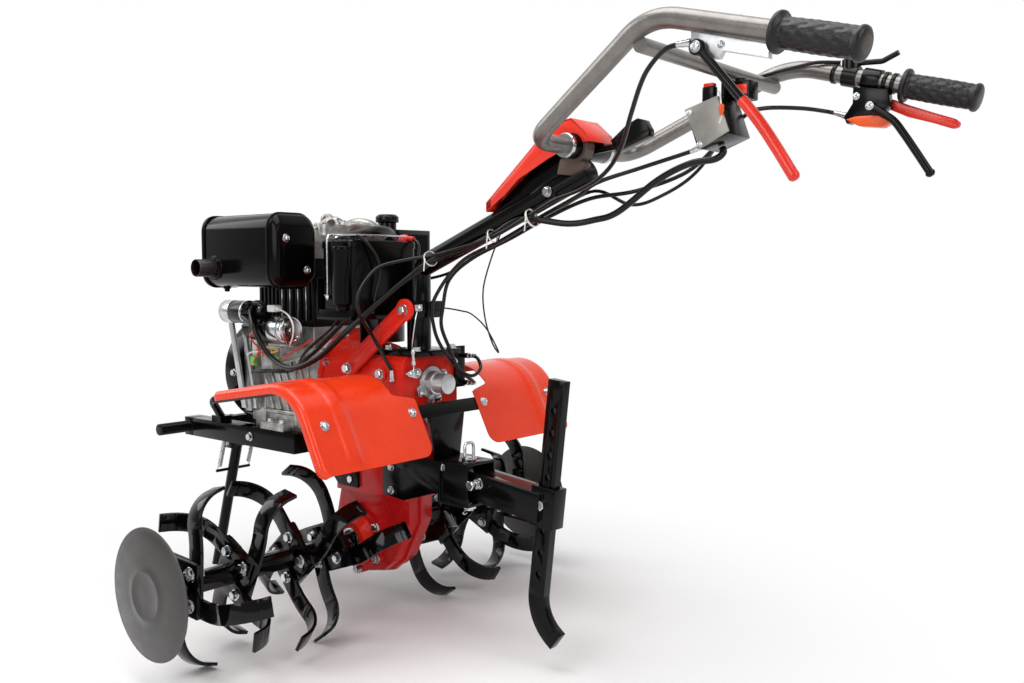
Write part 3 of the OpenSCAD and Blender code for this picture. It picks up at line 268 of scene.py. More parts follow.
# ABS of the hand levers: a clear, glossy red
lever_red = moulded("abs_lever_red", "#E0301C", "#D42816", rough=0.24, grain_mm=0.9, grain_depth=0.01)
# ABS of the safety lock: the same gloss in orange
lever_orange = moulded("abs_lock_orange", "#F05A18", "#E24E10", rough=0.28, grain_mm=0.9, grain_depth=0.01)
# Polyethylene of the grips' end plugs: a waxy, dull brown
plug_brown = moulded("pe_end_plug_brown", "#4A3A30", "#3E3028", rough=0.45, grain_mm=0.9, grain_depth=0.02)
# Nylon of the white plug and the cable ties: milky, with a soft sheen
nylon_white = moulded("nylon_white", "#E6E4DE", "#D8D5CE", rough=0.4, grain_mm=0.8, grain_depth=0.01)
# Nylon of the green connectors: bright, with the same sheen
nylon_green = moulded("nylon_green", "#6FD25A", "#58B946", rough=0.4, grain_mm=0.8, grain_depth=0.01)
# PVC on the white wires: a bright thin line with a faint gloss
wire_white = moulded("pvc_wire_white", "#E4E2DC", "#D2CFC8", rough=0.35, grain_mm=0.8, grain_depth=0.01)
# PVC on the red wires and the battery's red boot: a strong red with a faint gloss
wire_red = moulded("pvc_wire_red", "#D8261C", "#C01E16", rough=0.35, grain_mm=0.8, grain_depth=0.01)
# PVC on the yellow wire: a warm yellow with a faint gloss
wire_yellow = moulded("pvc_wire_yellow", "#E0B428", "#CC9F1E", rough=0.35, grain_mm=0.8, grain_depth=0.01)

FINISH_OF_SLOT = {
    "red_casting": casting_red, "red_paint": fender_red, "red_plastic": abs_red, "black_paint": frame_black,
    "black_plastic": pp_black, "zinc_steel": zinc, "cast_aluminium": cast_alu, "black_aluminium": fin_black,
    "dark_steel": disc_grey, "gunmetal_paint": bar_grey, "rubber": grip_rubber,
}
# The gearbox leg takes the red enamel darkened by painted shade
FINISH_OF_NODE = {
    "gearbox_leg": leg_red_painted_shade, "reel_left": tine_black, "reel_right": tine_black, "muffler": muffler_black,
    "tail_pipe": muffler_black, "console": console_grey, "brace_bar": casting_red,
    "pto_cap": machined_alu, "drain_plug": machined_alu, "clutch_bracket": machined_alu,
    "cable_clutch": jacket_black, "cable_throttle": jacket_black, "cable_reverse": jacket_black,
    "cable_shift": jacket_black, "harness": jacket_black,
}


def dress(piece, finish):
    """Gives a piece one material all over."""
    piece.data.materials.clear()
    piece.data.materials.append(finish)


def dress_nodes():
    """Gives each CAD node the finish of its slot, or its own."""
    for part in frame["record"]["subparts"]:
        name = part["node"]
        dress(nodes[name], FINISH_OF_NODE.get(name, FINISH_OF_SLOT[part["material_slot"]]))


def make_floor():
    """A pale floor that fades to plain white away from the machine."""
    bpy.ops.mesh.primitive_plane_add(size=40, location=(0, 0, -0.0005))
    floor = bpy.context.object
    floor.name = "studio_floor"
    made, tree = new_material("studio_floor_white")
    place = put(tree, "ShaderNodeTexCoord").outputs["Object"]
    far = put(tree, "ShaderNodeVectorMath", {0: place}, operation="LENGTH")
    fade = put(tree, "ShaderNodeMapRange",
               {"Value": far.outputs["Value"], "From Min": FADE_FROM, "From Max": FADE_TO},
               interpolation_type="SMOOTHSTEP")
    path = put(tree, "ShaderNodeLightPath")
    seen = put(tree, "ShaderNodeMath", {0: path.outputs["Is Camera Ray"], 1: path.outputs["Is Glossy Ray"]},
               operation="MAXIMUM")
    seen = put(tree, "ShaderNodeMath", {0: seen.outputs[0], 1: path.outputs["Is Transmission Ray"]},
               operation="MAXIMUM")
    share = put(tree, "ShaderNodeMath", {0: fade.outputs[0], 1: seen.outputs[0]}, operation="MULTIPLY")
    matt = put(tree, "ShaderNodeBsdfDiffuse", {"Color": linear("#F8F7F7")})
    white = put(tree, "ShaderNodeEmission", {"Color": (1, 1, 1, 1), "Strength": 1.0})
    mixed = put(tree, "ShaderNodeMixShader", {0: share.outputs[0], 1: matt.outputs[0], 2: white.outputs[0]})
    finish_material(tree, mixed)
    dress(floor, made)


def make_world():
    """A studio that lights evenly, white behind the machine and dim in front of it."""
    world = bpy.data.worlds.new("studio")
    bpy.context.scene.world = world
    world.use_nodes = True
    tree = world.node_tree
    tree.nodes.clear()
    path = put(tree, "ShaderNodeLightPath")
    place = put(tree, "ShaderNodeTexCoord").outputs["Generated"]
    behind = put(tree, "ShaderNodeVectorMath", {0: place, 1: BACKDROP_WAY}, operation="DOT_PRODUCT")
    sweep = put(tree, "ShaderNodeMapRange",
                {"Value": behind.outputs["Value"], "From Min": 0.0, "From Max": 0.7,
                 "To Min": DIM_SIDE, "To Max": 1.0}, interpolation_type="SMOOTHSTEP")
    mirror_rays = put(tree, "ShaderNodeMath",
                      {0: path.outputs["Is Glossy Ray"], 1: path.outputs["Is Transmission Ray"]},
                      operation="MAXIMUM")
    lit = put(tree, "ShaderNodeMix", {0: mirror_rays.outputs[0], 2: ROOM_LIGHT, 3: sweep.outputs[0]})
    shown = put(tree, "ShaderNodeMix", {0: path.outputs["Is Camera Ray"], 2: lit.outputs[0], 3: 1.0})
    back = put(tree, "ShaderNodeBackground", {"Color": (1, 1, 1, 1), "Strength": shown.outputs[0]})
    put(tree, "ShaderNodeOutputWorld", {"Surface": back.outputs[0]})


# Workshop: small helpers that select, shape, place and finish a piece

def only(*pieces):
    """Selects these pieces alone, the last one active."""
    bpy.ops.object.select_all(action="DESELECT")
    for piece in pieces:
        piece.select_set(True)
    bpy.context.view_layer.objects.active = pieces[-1]
    return pieces[-1]


def skin(name, dots, edges=(), faces=()):
    """A new piece from points in millimetres, alone in the selection."""
    mesh = bpy.data.meshes.new(name)
    mesh.from_pydata([Vector(dot) * MM for dot in dots], edges, faces)
    piece = bpy.data.objects.new(name, mesh)
    bpy.context.scene.collection.objects.link(piece)
    return only(piece)


def outward(piece):
    """Merges doubled points and turns all faces outwards."""
    only(piece)
    bpy.ops.object.mode_set(mode="EDIT")
    bpy.ops.mesh.select_all(action="SELECT")
    bpy.ops.mesh.remove_doubles(threshold=0.00001)
    bpy.ops.mesh.normals_make_consistent(inside=False)
    bpy.ops.object.mode_set(mode="OBJECT")
    return piece


def shaped(piece, kind, **settings):
    """Adds a modifier with its settings and applies it."""
    only(piece)
    made = piece.modifiers.new(kind.lower(), kind)
    for key, value in settings.items():
        setattr(made, key, value)
    bpy.ops.object.modifier_apply(modifier=made.name)
    return piece


def eased(piece, width, angle=30, segments=2):
    """Rounds a piece's sharp edges by a width in millimetres."""
    return shaped(piece, "BEVEL", width=width * MM, segments=segments, limit_method="ANGLE",
                  angle_limit=math.radians(angle))


def finished(piece, name, finish, body, stands_for=(), angle=35):
    """Smooths, names and dresses a piece, and lets it ride on a body."""
    only(piece)
    bpy.ops.object.transform_apply(location=True, rotation=True, scale=True)
    bpy.ops.object.shade_smooth_by_angle(angle=math.radians(angle))
    piece.name = piece.data.name = name
    if finish:
        dress(piece, finish)
    if body:
        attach(piece, body)
    if stands_for:
        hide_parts(*stands_for)
    return piece


def joined(*pieces):
    """Joins pieces into the first one, each keeping its finish."""
    first = only(*pieces[::-1])
    if len(pieces) > 1:
        bpy.ops.object.join()
    return first


def coated(piece, finish):
    """Dresses a piece and hands it on."""
    dress(piece, finish)
    return piece


def facing(at, along=(0, 0, 1), turn=0.0, scale=1.0):
    """A place in millimetres, with Z along a direction and a turn round it."""
    aim = Vector(along).to_track_quat("Z", "Y").to_matrix().to_4x4()
    return (Matrix.Translation(Vector(at) * MM) @ aim @ Matrix.Rotation(math.radians(turn), 4, "Z")
            @ Matrix.Scale(scale, 4))


def copy_of(master, place):
    """A copy of a piece with its own mesh, in another place."""
    made = bpy.data.objects.new(master.name, master.data.copy())
    made.data.transform(place)
    bpy.context.scene.collection.objects.link(made)
    return made


def placed(piece, *place):
    """Moves a piece's mesh to a place."""
    piece.data.transform(facing(*place))
    return piece


def mirrored(piece, name, body, stands_for=()):
    """The right-hand twin of a left-hand piece."""
    made = copy_of(piece, Matrix.Scale(-1, 4, (0, 1, 0)))
    made.data.flip_normals()
    return finished(made, name, None, body, stands_for)


def turned(profile, steps=32, *place):
    """A turned piece: a profile of radius and height, spun about Z and moved to its place."""
    piece = skin("turned", [(r, 0, z) for r, z in profile], [(i, i + 1) for i in range(len(profile) - 1)])
    bpy.ops.object.mode_set(mode="EDIT")
    bpy.ops.mesh.select_all(action="SELECT")
    bpy.ops.mesh.spin(steps=steps, angle=math.tau, center=(0, 0, 0), axis=(0, 0, 1))
    bpy.ops.object.mode_set(mode="OBJECT")
    outward(piece)
    return placed(piece, *place) if place else piece


def rounded(low, high, r, n=5, take=0.0):
    """The outline of a rectangle with round corners, with each side taken in."""
    (left, foot), (right, top) = [v + take + r for v in low], [v - take - r for v in high]
    corners = ((right, top), (left, top), (left, foot), (right, foot))
    return [(a + r * math.cos(math.tau / 4 * (k + i / n)), b + r * math.sin(math.tau / 4 * (k + i / n)))
            for k, (a, b) in enumerate(corners) for i in range(n + 1)]


def lofted(sections, along="X"):
    """A closed skin over outlines of one count that stand at heights along an axis."""
    lay = {"X": lambda h, a, b: (h, a, b),
           "Y": lambda h, a, b: (b, h, a),
           "Z": lambda h, a, b: (a, b, h)}[along]
    count = len(sections[0][1])
    dots = [lay(h, a, b) for h, outline in sections for a, b in outline]
    faces = []
    for i in range(len(sections) - 1):
        here, above = i * count, (i + 1) * count
        faces += [(here + k, here + (k + 1) % count, above + (k + 1) % count, above + k)
                  for k in range(count)]
    faces.append(tuple(range(count)))
    faces.append(tuple((len(sections) - 1) * count + k for k in range(count)))
    return outward(skin("lofted", dots, (), faces))


def plate(outline, low, high, along, edge=0.8):
    """A flat outline between two heights along an axis, with eased edges."""
    piece = lofted([(low, outline), (high, outline)], along)
    return eased(piece, edge) if edge else piece


def side_plate(outline, low, high, edge=0.8):
    """A plate across the machine: its outline is in X and Z."""
    return plate([(z, x) for x, z in outline], low, high, "Y", edge)


def block(low, high, edge=1.5):
    """A block between two corners with eased edges."""
    middle = [(a + b) / 2 * MM for a, b in zip(low, high)]
    bpy.ops.object.select_all(action="DESELECT")
    bpy.ops.mesh.primitive_cube_add(size=1, location=middle)
    piece = bpy.context.object
    piece.scale = [(b - a) * MM for a, b in zip(low, high)]
    bpy.ops.object.transform_apply(location=True, rotation=True, scale=True)
    return eased(piece, edge)


def smooth_line(points, steps):
    """A smooth line through points, as a cable lies."""
    dots = [Vector(p) for p in points]
    line = []
    for i in range(len(dots) - 1):
        a, b, c, d = dots[max(i - 1, 0)], dots[i], dots[i + 1], dots[min(i + 2, len(dots) - 1)]
        for k in range(steps):
            t = k / steps
            line.append(0.5 * (2 * b + (c - a) * t + (2 * a - 5 * b + 4 * c - d) * t * t
                               + (3 * b - a - 3 * c + d) * t ** 3))
    return line + [dots[-1]]


def tube(points, d, steps=6, fine=2):
    """A cable, wire or bent rod: a round tube on a smooth line."""
    curve = bpy.data.curves.new("tube", "CURVE")
    curve.dimensions = "3D"
    curve.bevel_depth = d / 2 * MM
    curve.bevel_resolution = fine
    curve.use_fill_caps = True
    route = smooth_line(points, steps) if steps > 1 else [Vector(p) for p in points]
    line = curve.splines.new("POLY")
    line.points.add(len(route) - 1)
    for dot, at in zip(line.points, route):
        dot.co = (*(at * MM), 1)
    piece = bpy.data.objects.new("tube", curve)
    bpy.context.scene.collection.objects.link(piece)
    only(piece)
    bpy.ops.object.convert(target="MESH")
    return outward(bpy.context.object)


def pick_faces(piece, chosen):
    """Goes to edit mode with those faces selected for which chosen(centre in millimetres, normal) holds."""
    only(piece)
    bpy.ops.object.mode_set(mode="EDIT")
    bpy.ops.mesh.select_mode(type="FACE")
    bpy.ops.mesh.select_all(action="DESELECT")
    bpy.ops.object.mode_set(mode="OBJECT")
    for face in piece.data.polygons:
        face.select = bool(chosen(face.center / MM, face.normal))
    bpy.ops.object.mode_set(mode="EDIT")


def softened(node, width, finish=None):
    """A CAD node with its edges rounded as a casting's or a sawn plate's are."""
    piece = nodes[node].copy()
    piece.data = nodes[node].data.copy()
    piece.parent = None
    for key in list(piece.keys()):
        del piece[key]
    bpy.context.scene.collection.objects.link(piece)
    outward(piece)
    bpy.ops.object.mode_set(mode="EDIT")
    bpy.ops.mesh.select_all(action="SELECT")
    bpy.ops.mesh.dissolve_limited(angle_limit=math.radians(0.6))
    bpy.ops.object.mode_set(mode="OBJECT")
    eased(piece, width, 32)
    return finished(piece, node + "_soft", finish, BODY_OF[node], (node,), 40)


# Masters of the fasteners, copied wherever one sits

def hex_head(across, height, washer_d, washer_t, steps=20):
    """A hexagon head with its chamfer on a round washer, standing on Z = 0."""
    rise = 0.12 * height
    side_h, r = height - rise, washer_d / 2
    bpy.ops.object.select_all(action="DESELECT")
    bpy.ops.mesh.primitive_cylinder_add(vertices=6, radius=across / math.sqrt(3) * MM, depth=side_h * MM,
                                        location=(0, 0, (washer_t + side_h / 2) * MM))
    head = bpy.context.object
    bpy.ops.object.transform_apply(location=True, rotation=True, scale=True)
    pick_faces(head, lambda at, normal: normal.z > 0.9)
    bpy.ops.mesh.inset(thickness=0.09 * across * MM, depth=rise * MM)
    bpy.ops.object.mode_set(mode="OBJECT")
    washer = turned([(0, 0), (r, 0), (r, washer_t * 0.75), (r - 0.4, washer_t), (0, washer_t)], steps)
    return coated(joined(head, washer), zinc)


def dome_head(d, height, washer_d, washer_t):
    """A domed screw head with a slot ring on a washer, standing on Z = 0."""
    r, rim = d / 2, washer_d / 2
    profile = [(0, 0), (rim, 0), (rim, washer_t * 0.7), (rim - 0.5, washer_t), (r, washer_t)]
    rises = ((0.97, 0.45), (0.74, 0.84), (0.4, 1), (0.3, 0.78), (0, 0.74))
    profile += [(r * out, washer_t + height * up) for out, up in rises]
    return coated(turned(profile, 24), zinc)


def stud_nut(across, height, stud_d, stud_h):
    """A hexagon nut on a washer with its stud through it."""
    r = stud_d / 2
    stud = coated(turned([(0, 0), (r, 0), (r, stud_h - 1), (r - 1, stud_h), (0, stud_h)], 14), zinc)
    return joined(hex_head(across, height, across * 1.55, 1.6), stud)


def cleared(*masters):
    """Takes masters away once their copies are in place."""
    for master in masters:
        bpy.data.objects.remove(master)


def scatter(name, master, places, body):
    """Copies of a fastener at many places, joined as one piece."""
    return finished(joined(*[copy_of(master, place) for place in places]), name, None, body, (), 30)


# Fenders: pressed sheet with a rolled outer lip and a wide rib

FENDER_FRONT, FENDER_CORNER, FENDER_BACK = Vector((72, 567)), Vector((-205, 612)), Vector((-297, 434))
FENDER_BEND, FENDER_IN, FENDER_OUT = 115, 92, 390
# In front of this X the inner edge stands further out, to clear the gearbox
FENDER_STEP_X, FENDER_STEP = -232, 150
RIB_IN, RIB_OUT, RIB_RISE, RIB_STEPS = 278, 328, 3.4, 12
LIP_R, SHEET_T = 11, 2.4


def fender_line():
    """The fender's side line as a function of the way along it, and its length."""
    d0, d1 = (FENDER_CORNER - FENDER_FRONT).normalized(), (FENDER_BACK - FENDER_CORNER).normalized()
    bend = math.acos(d0.dot(d1))
    cut = FENDER_BEND * math.tan(bend / 2)
    n0, n1 = Vector((-d0.y, d0.x)) * -1, Vector((-d1.y, d1.x)) * -1
    first = (FENDER_CORNER - FENDER_FRONT).length - cut
    round_len = FENDER_BEND * bend
    last = (FENDER_BACK - FENDER_CORNER).length - cut
    centre = FENDER_CORNER - d0 * cut - n0 * FENDER_BEND

    def at(s):
        if s <= first:
            return FENDER_FRONT + d0 * s, n0
        if s >= first + round_len:
            return FENDER_CORNER + d1 * (cut + s - first - round_len), n1
        a = (s - first) / FENDER_BEND
        normal = Vector((n0.x * math.cos(a) - n0.y * math.sin(a), n0.x * math.sin(a) + n0.y * math.cos(a)))
        return centre + normal * FENDER_BEND, normal

    return at, first + round_len + last


def corner_cut(way, r):
    """How far a round corner takes the edge in, at a distance from the sheet's end."""
    return r - math.sqrt(max(r * r - (r - way) ** 2, 0)) if way < r else 0.0


def make_fenders():
    """Both fenders, drawn as rows across the sheet from its front to its rear."""
    line, length = fender_line()
    ways = [k * 0.5 for k in range(int(2 * length))]
    step_at = min(ways, key=lambda s: abs(line(s)[0].x - FENDER_STEP_X))
    ends = [0, 0.6, 2, 4, 7, 11, 16, 22, 29]
    near = (-14, -9, -5, -2, 0, 2, 5, 9, 14)
    rows = sorted(set(ends + [length - e for e in ends] + [step_at + d for d in near]
                      + [29 + (length - 58) * k / 40 for k in range(1, 40)]))
    dots, width = [], None
    for s in rows:
        here, normal = line(s)
        end = min(s, length - s)
        inner_t = min(max((s - step_at + 10) / 20, 0), 1)
        inner = FENDER_STEP + (FENDER_IN - FENDER_STEP) * inner_t * inner_t * (3 - 2 * inner_t)
        inner += corner_cut(end, 28)
        outer = FENDER_OUT - corner_cut(end, 20)
        rib = RIB_RISE * min(max((end - 8) / 22, 0), 1)
        across = [(inner + (RIB_IN - inner) * k / 6, 0) for k in range(6)]
        for k in range(RIB_STEPS + 1):
            climb = min(k, RIB_STEPS - k, 4) / 4
            across.append((RIB_IN + (RIB_OUT - RIB_IN) * k / RIB_STEPS,
                           rib * 0.5 * (1 - math.cos(math.pi * climb))))
        across += [(RIB_OUT + (outer - LIP_R - RIB_OUT) * k / 4, 0) for k in range(1, 5)]
        for k in range(1, 7):
            a = math.tau / 4 * k / 6
            across.append((outer - LIP_R + LIP_R * math.sin(a), LIP_R * math.cos(a) - LIP_R))
        across += [(outer, -16), (outer - 0.6, -20)]
        width = len(across)
        dots += [(here.x + normal.x * up, y, here.y + normal.y * up) for y, up in across]
    faces = [(i * width + k, i * width + k + 1, (i + 1) * width + k + 1, (i + 1) * width + k)
             for i in range(len(rows) - 1) for k in range(width - 1)]
    sheet = outward(skin("fender", dots, (), faces))
    if sum(face.normal.z for face in sheet.data.polygons) < 0:
        sheet.data.flip_normals()
    shaped(sheet, "SOLIDIFY", thickness=SHEET_T * MM, offset=-1)
    left = finished(sheet, "fender_left_sheet", fender_red, "machine", ("fender_left",), 60)
    mirrored(left, "fender_right_sheet", "machine", ("fender_right",))
    screw = dome_head(15, 6, 21, 2)
    rear = line(length - 20)[1]
    places = [facing((x + rear.x * 0.2, y * side, z + rear.y * 0.2), (rear.x, 0, rear.y))
              for x, y, z in ((-251, 350, 522.8), (-251, 114, 522.8)) for side in (1, -1)]
    scatter("fender_screws", screw, places, "machine")
    cleared(screw)


# Tine reels: bolts, nuts and guard discs

# Each flange: its distance from the middle plane, and whether every second tine bends outwards
REEL_FLANGES = ((136, True), (240, True), (384, True), (508, False))
TINES, TIP_STEP, TIP_TURN = 4, 22.5, 8.4
TINE_BOLT_OUT, TINE_BOLT_ASIDE = 35, 30
# Height of the tine shaft, and how far out a reel's hub ends
AXLE, HUB_END = 195.176, 581.5


def make_reels():
    """Softened reels with two bolts and nuts on each tine, and the pressed guard discs."""
    bolt, nut = hex_head(17, 8, 24, 2, 16), stud_nut(16, 8, 9.5, 13)
    for side, name in SIDES:
        reel = "reel_" + name
        softened(reel, 1.3, tine_black)
        bolts, nuts = [], []
        for i, (y, alternate) in enumerate(REEL_FLANGES):
            for k in range(TINES):
                turn = math.radians(90 + TIP_STEP * (i + 0.5) + TIP_TURN + 90 * k)
                hand = 1 if alternate and k % 2 == 0 else -1
                for aside in (-TINE_BOLT_ASIDE, TINE_BOLT_ASIDE):
                    x = aside * math.cos(turn) + TINE_BOLT_OUT * math.sin(turn)
                    z = AXLE - aside * math.sin(turn) + TINE_BOLT_OUT * math.cos(turn)
                    bolts.append(facing((x, side * (y + hand * 11), z), (0, side * hand, 0),
                                        17 * k + 31 * i))
                    nuts.append(facing((x, side * (y - hand * 4), z), (0, -side * hand, 0), 23 * k + 11 * i))
        scatter(reel + "_bolts", bolt, bolts, "tine_rotor")
        scatter(reel + "_nuts", nut, nuts, "tine_rotor")
    for side, name in SIDES:
        ring = turned([(0, 0.4), (20, 0), (131, -8.2), (132, -7.4), (131.4, -5.6), (122, -4.4), (118, -2.6),
                       (70, 1.2), (54, 2.6), (50, 4.4), (46, 4.6), (42, 3.2), (18, 3.4), (0, 3.4)], 72,
                      (0, HUB_END + 5, AXLE), (0, 1, 0))
        disc = finished(ring, "disc_%s_pressing" % name, disc_grey, None, ("disc_" + name,), 50)
        if side < 0:
            disc.data.transform(Matrix.Scale(-1, 4, (0, 1, 0)))
            disc.data.flip_normals()
        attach(disc, "tine_rotor")
    cleared(bolt, nut)


# Muffler: drawn shell with a crimped rim, a rear cover and the tail pipe

def make_muffler():
    """Rounded shell, crimp, cover, collar, pipe and dome nuts."""
    low, high = (130, 781), (254, 951)

    def ring(x, take, r):
        return x, rounded(low, high, r, 8, take)

    def rear(x, side, foot, top, r):
        return x, rounded((low[0] + side, low[1] + foot), (high[0] - side, high[1] - top), r, 8)

    shell = lofted([ring(58, 3.5, 34), ring(300, 3.5, 34), ring(308, 5, 34), ring(316, 11, 32),
                    ring(320, 20, 28), ring(321, 34, 20)])
    cover = lofted([rear(28, 12, 26, 30, 14), rear(29.5, 10, 22, 26, 16), rear(40, 5, 9, 10, 24),
                    rear(44, 3.6, 5, 5, 30), rear(50, 3.2, 3.6, 3.6, 33), rear(60, 3.2, 3.6, 3.6, 33)])
    crimp = lofted([ring(50, 3, 34), ring(50.6, 0.8, 36), ring(52, 0, 36), ring(56, 0, 36),
                    ring(57.5, 0.8, 36), ring(58, 3, 34)])
    front = lofted([ring(292, 3, 34), ring(293, 1, 35), ring(295, 0.4, 36), ring(299, 0.4, 36),
                    ring(301, 1, 35), ring(302, 3, 34)])
    seam = block((60, 186, 949.4), (292, 193, 950.8), 0.6)
    body = joined(shell, cover, crimp, front, seam)
    finished(body, "muffler_shell", muffler_black, "machine", ("muffler",), 50)
    pipe = turned([(17.8, 0), (17.8, 48), (18.2, 49.6), (19.4, 50), (20, 49), (20, 0)], 40,
                  (254, 251, 828), (0, 1, 0))
    finished(pipe, "tail_pipe_tube", pipe_grey, "machine", ("tail_pipe",), 40)
    collar = turned([(20.2, 0), (29, 0), (28, 2.4), (25, 3), (22.6, 6), (20.2, 6.4)], 40,
                    (254, 250, 828), (0, 1, 0))
    dark_end = turned([(0, 0), (17.9, 0), (17.9, 1), (0, 1)], 32, (254, 254, 828), (0, 1, 0))
    finished(joined(collar, dark_end), "tail_pipe_collar", muffler_black, "machine", (), 40)
    dome = dome_head(13, 7, 18, 1.6)
    nuts = [facing((28.2, y, z), (-1, 0, 0)) for y, z in ((220.7, 892.8), (164, 823))]
    scatter("muffler_dome_nuts", dome, nuts, "machine")
    nub = turned([(0, 0), (9, 0), (9, 4), (6, 6), (6, 11), (0, 12)], 20, (272, 206, 784), (0, 0, -1))
    finished(nub, "muffler_plug", muffler_black, "machine")
    cleared(dome)


# Springs of the flip stand, from the frame's pegs to the stand's

SPRING_TOP, SPRING_LOW = Vector((528, 46, 384)), Vector((564.4, 46, 281.6))
COIL_R, COIL_TURNS, TURN_STEPS = 5.0, 24, 10
HOOK_LEN, WIRE_D = 14, 2.8


def make_springs():
    """Two wound springs from the frame's pegs to the stand's pegs."""
    top, low = SPRING_TOP, SPRING_LOW
    along = (low - top).normalized()
    out = Vector((0, 1, 0))
    other = along.cross(out)
    coil_len = (low - top).length - 2 * HOOK_LEN
    dots = COIL_TURNS * TURN_STEPS
    points = [top + out * 3, top + along * 4 + out * 3.2]
    for k in range(dots + 1):
        a = math.tau * k / TURN_STEPS
        points.append(top + along * (HOOK_LEN + coil_len * k / dots)
                      + (out * math.cos(a) + other * math.sin(a)) * COIL_R)
    points += [low - along * 4 + out * 3.2, low + out * 3]
    for side, name in SIDES:
        wire = tube([(p.x, side * p.y, p.z) for p in points], WIRE_D, 1, 1)
        finished(wire, "stand_spring_%s_wire" % name, zinc, None, ("stand_spring_" + name,), 60)
        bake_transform(wire)


# Gearbox, hitch and frame: eased castings and the fasteners on them

SOFT_EDGES = {
    "gearbox_leg": 2.4, "gearbox_case": 3.0, "bearing_cover_left": 1.6, "bearing_cover_right": 1.6,
    "brace_bar": 1.4, "column": 1.2, "lock_lever": 3.0, "hitch_bracket": 0.9, "drawbar": 2.2,
    "stake": 1.2, "engine_frame": 1.0, "front_guard": 0.8, "crankcase": 2.0, "engine_cylinder": 0.8,
    "cylinder_head": 2.6, "battery_tray": 0.8, "recoil_housing": 1.4, "fuel_tank": 4.0, "tank_cap": 1.2,
    "air_cleaner": 2.5, "fender_bar": 0.7, "stand_leg": 0.8, "stand_bolt": 0.6, "cable_bracket": 0.6,
    "drain_plug": 0.8, "pto_cap": 1.2, "hitch_pin": 0.5, "clutch_bracket": 0.8, "brake_bracket": 2.0,
}
# Bolt circles of the leg's covers and of the clutch bell, which lies round the crankshaft
LEG_BOLT_R = 73
BELL_BOLTS, BELL_BOLT_R = 8, 107
CRANK_Z = 570


def make_castings():
    """Every plain solid whose edges show gets them rounded."""
    for node, width in SOFT_EDGES.items():
        softened(node, width)


def make_gearbox_fittings():
    """Bolts of the leg, the case and the column foot, the shift arm with its link, seal rings and plugs."""
    bolt, small = hex_head(17, 8, 23, 2), hex_head(13, 4, 18, 1.4)
    bolts, smalls = [], []
    for side, name in SIDES:
        for i in range(6):
            a = math.radians(60 * i + 30)
            x, z = LEG_BOLT_R * math.cos(a), AXLE + LEG_BOLT_R * math.sin(a)
            bolts.append(facing((x, side * 48, z), (0, side, 0), 25 * i))
        bolts += [facing((x, side * 91, z), (0, side, 0), 20) for x, z in ((-128, 520), (-128, 595))]
        bolts.append(facing((18, side * 48, 334), (0, side, 0), 14))
        bolts += [facing((x, side * 56, 647), (0, 0, 1), 31) for x in (-205, -113)]
        smalls += [facing((-122, side * 54, 381), (0, side, 0), 9),
                   facing((-121, side * 54, 328), (0, side, 0), 40)]
        ring = turned([(17, 0), (29, 0), (29, 1.4), (27, 2.4), (24, 1.6), (21, 2.4), (17, 2.4)], 40,
                      (0, side * 70, AXLE), (0, side, 0))
        finished(ring, "seal_ring_" + name, turned_steel, "machine")
    smalls.append(facing((-206, -64, 616), (-1, 0, 0), 9))
    for k in range(BELL_BOLTS):
        a = math.tau * (k + 0.5) / BELL_BOLTS
        y, z = BELL_BOLT_R * math.cos(a), CRANK_Z + BELL_BOLT_R * math.sin(a)
        smalls.append(facing((45.8, y, z), (-1, 0, 0), 33 * k, 1.1))
    for y, z in ((-31, 592), (41, 555), (-14, 539)):
        smalls.append(facing((-204, y, z), (-1, 0, 0), y))
    bolts += [facing((-212, 99, 738), (0, 1, 0), 12, 1.1), facing((-30, 99, 602), (0, 1, 0), 12, 1.1)]
    scatter("gearbox_bolts", bolt, bolts, "machine")
    scatter("gearbox_small_bolts", small, smalls, "machine")
    arm = plate([(50, 590), (62, 588), (84, 594), (90, 600), (84, 606), (62, 611), (50, 609)], -212, -206,
                "X", 1.2)
    shaft = turned([(0, 0), (9, 0), (9, 10), (7, 10.5), (7, 20), (5, 21.5), (0, 22)], 24,
                   (-195, 56, 600), (-1, 0, 0))
    finished(joined(coated(arm, zinc), coated(shaft, turned_steel)), "shift_arm", None, "machine")
    wire = tube([(-237, 80, 744), (-237, 84, 732), (-235, 88, 712), (-222, 84, 664), (-216, 76, 652)], 2.6)
    hook = tube([(-215, 73, 618), (-215, 73, 608), (-215, 78, 602), (-215, 82, 604)], 2.6)
    barrel = turned([(0, 0), (3, 0), (4.6, 2), (4.6, 10), (3.4, 11), (3.4, 24), (4.6, 25), (4.6, 33),
                     (2, 36), (0, 36)], 16, (-215, 73, 617), (-0.03, 0.09, 1))
    tab = plate([(70, 736), (90, 736), (90, 750), (70, 750)], -240, -233, "X", 1)
    finished(joined(wire, hook, barrel, tab), "shift_link", zinc, "machine")
    screw = dome_head(11, 5, 15, 1.4)
    nuts = [facing((x, 80, z), (-1, 0, 0)) for x, z in ((-212, 600), (-240, 743))]
    scatter("shift_arm_nuts", screw, nuts, "machine")
    plug = turned([(0, 0), (4.5, 0), (4.5, 5), (2.6, 6), (2.6, 9), (3.4, 10), (3.4, 13), (0, 14)], 14,
                  (-120, 30, 635), (0, 0, 1))
    finished(plug, "breather_plug", zinc, "machine")
    cleared(bolt, small, screw)


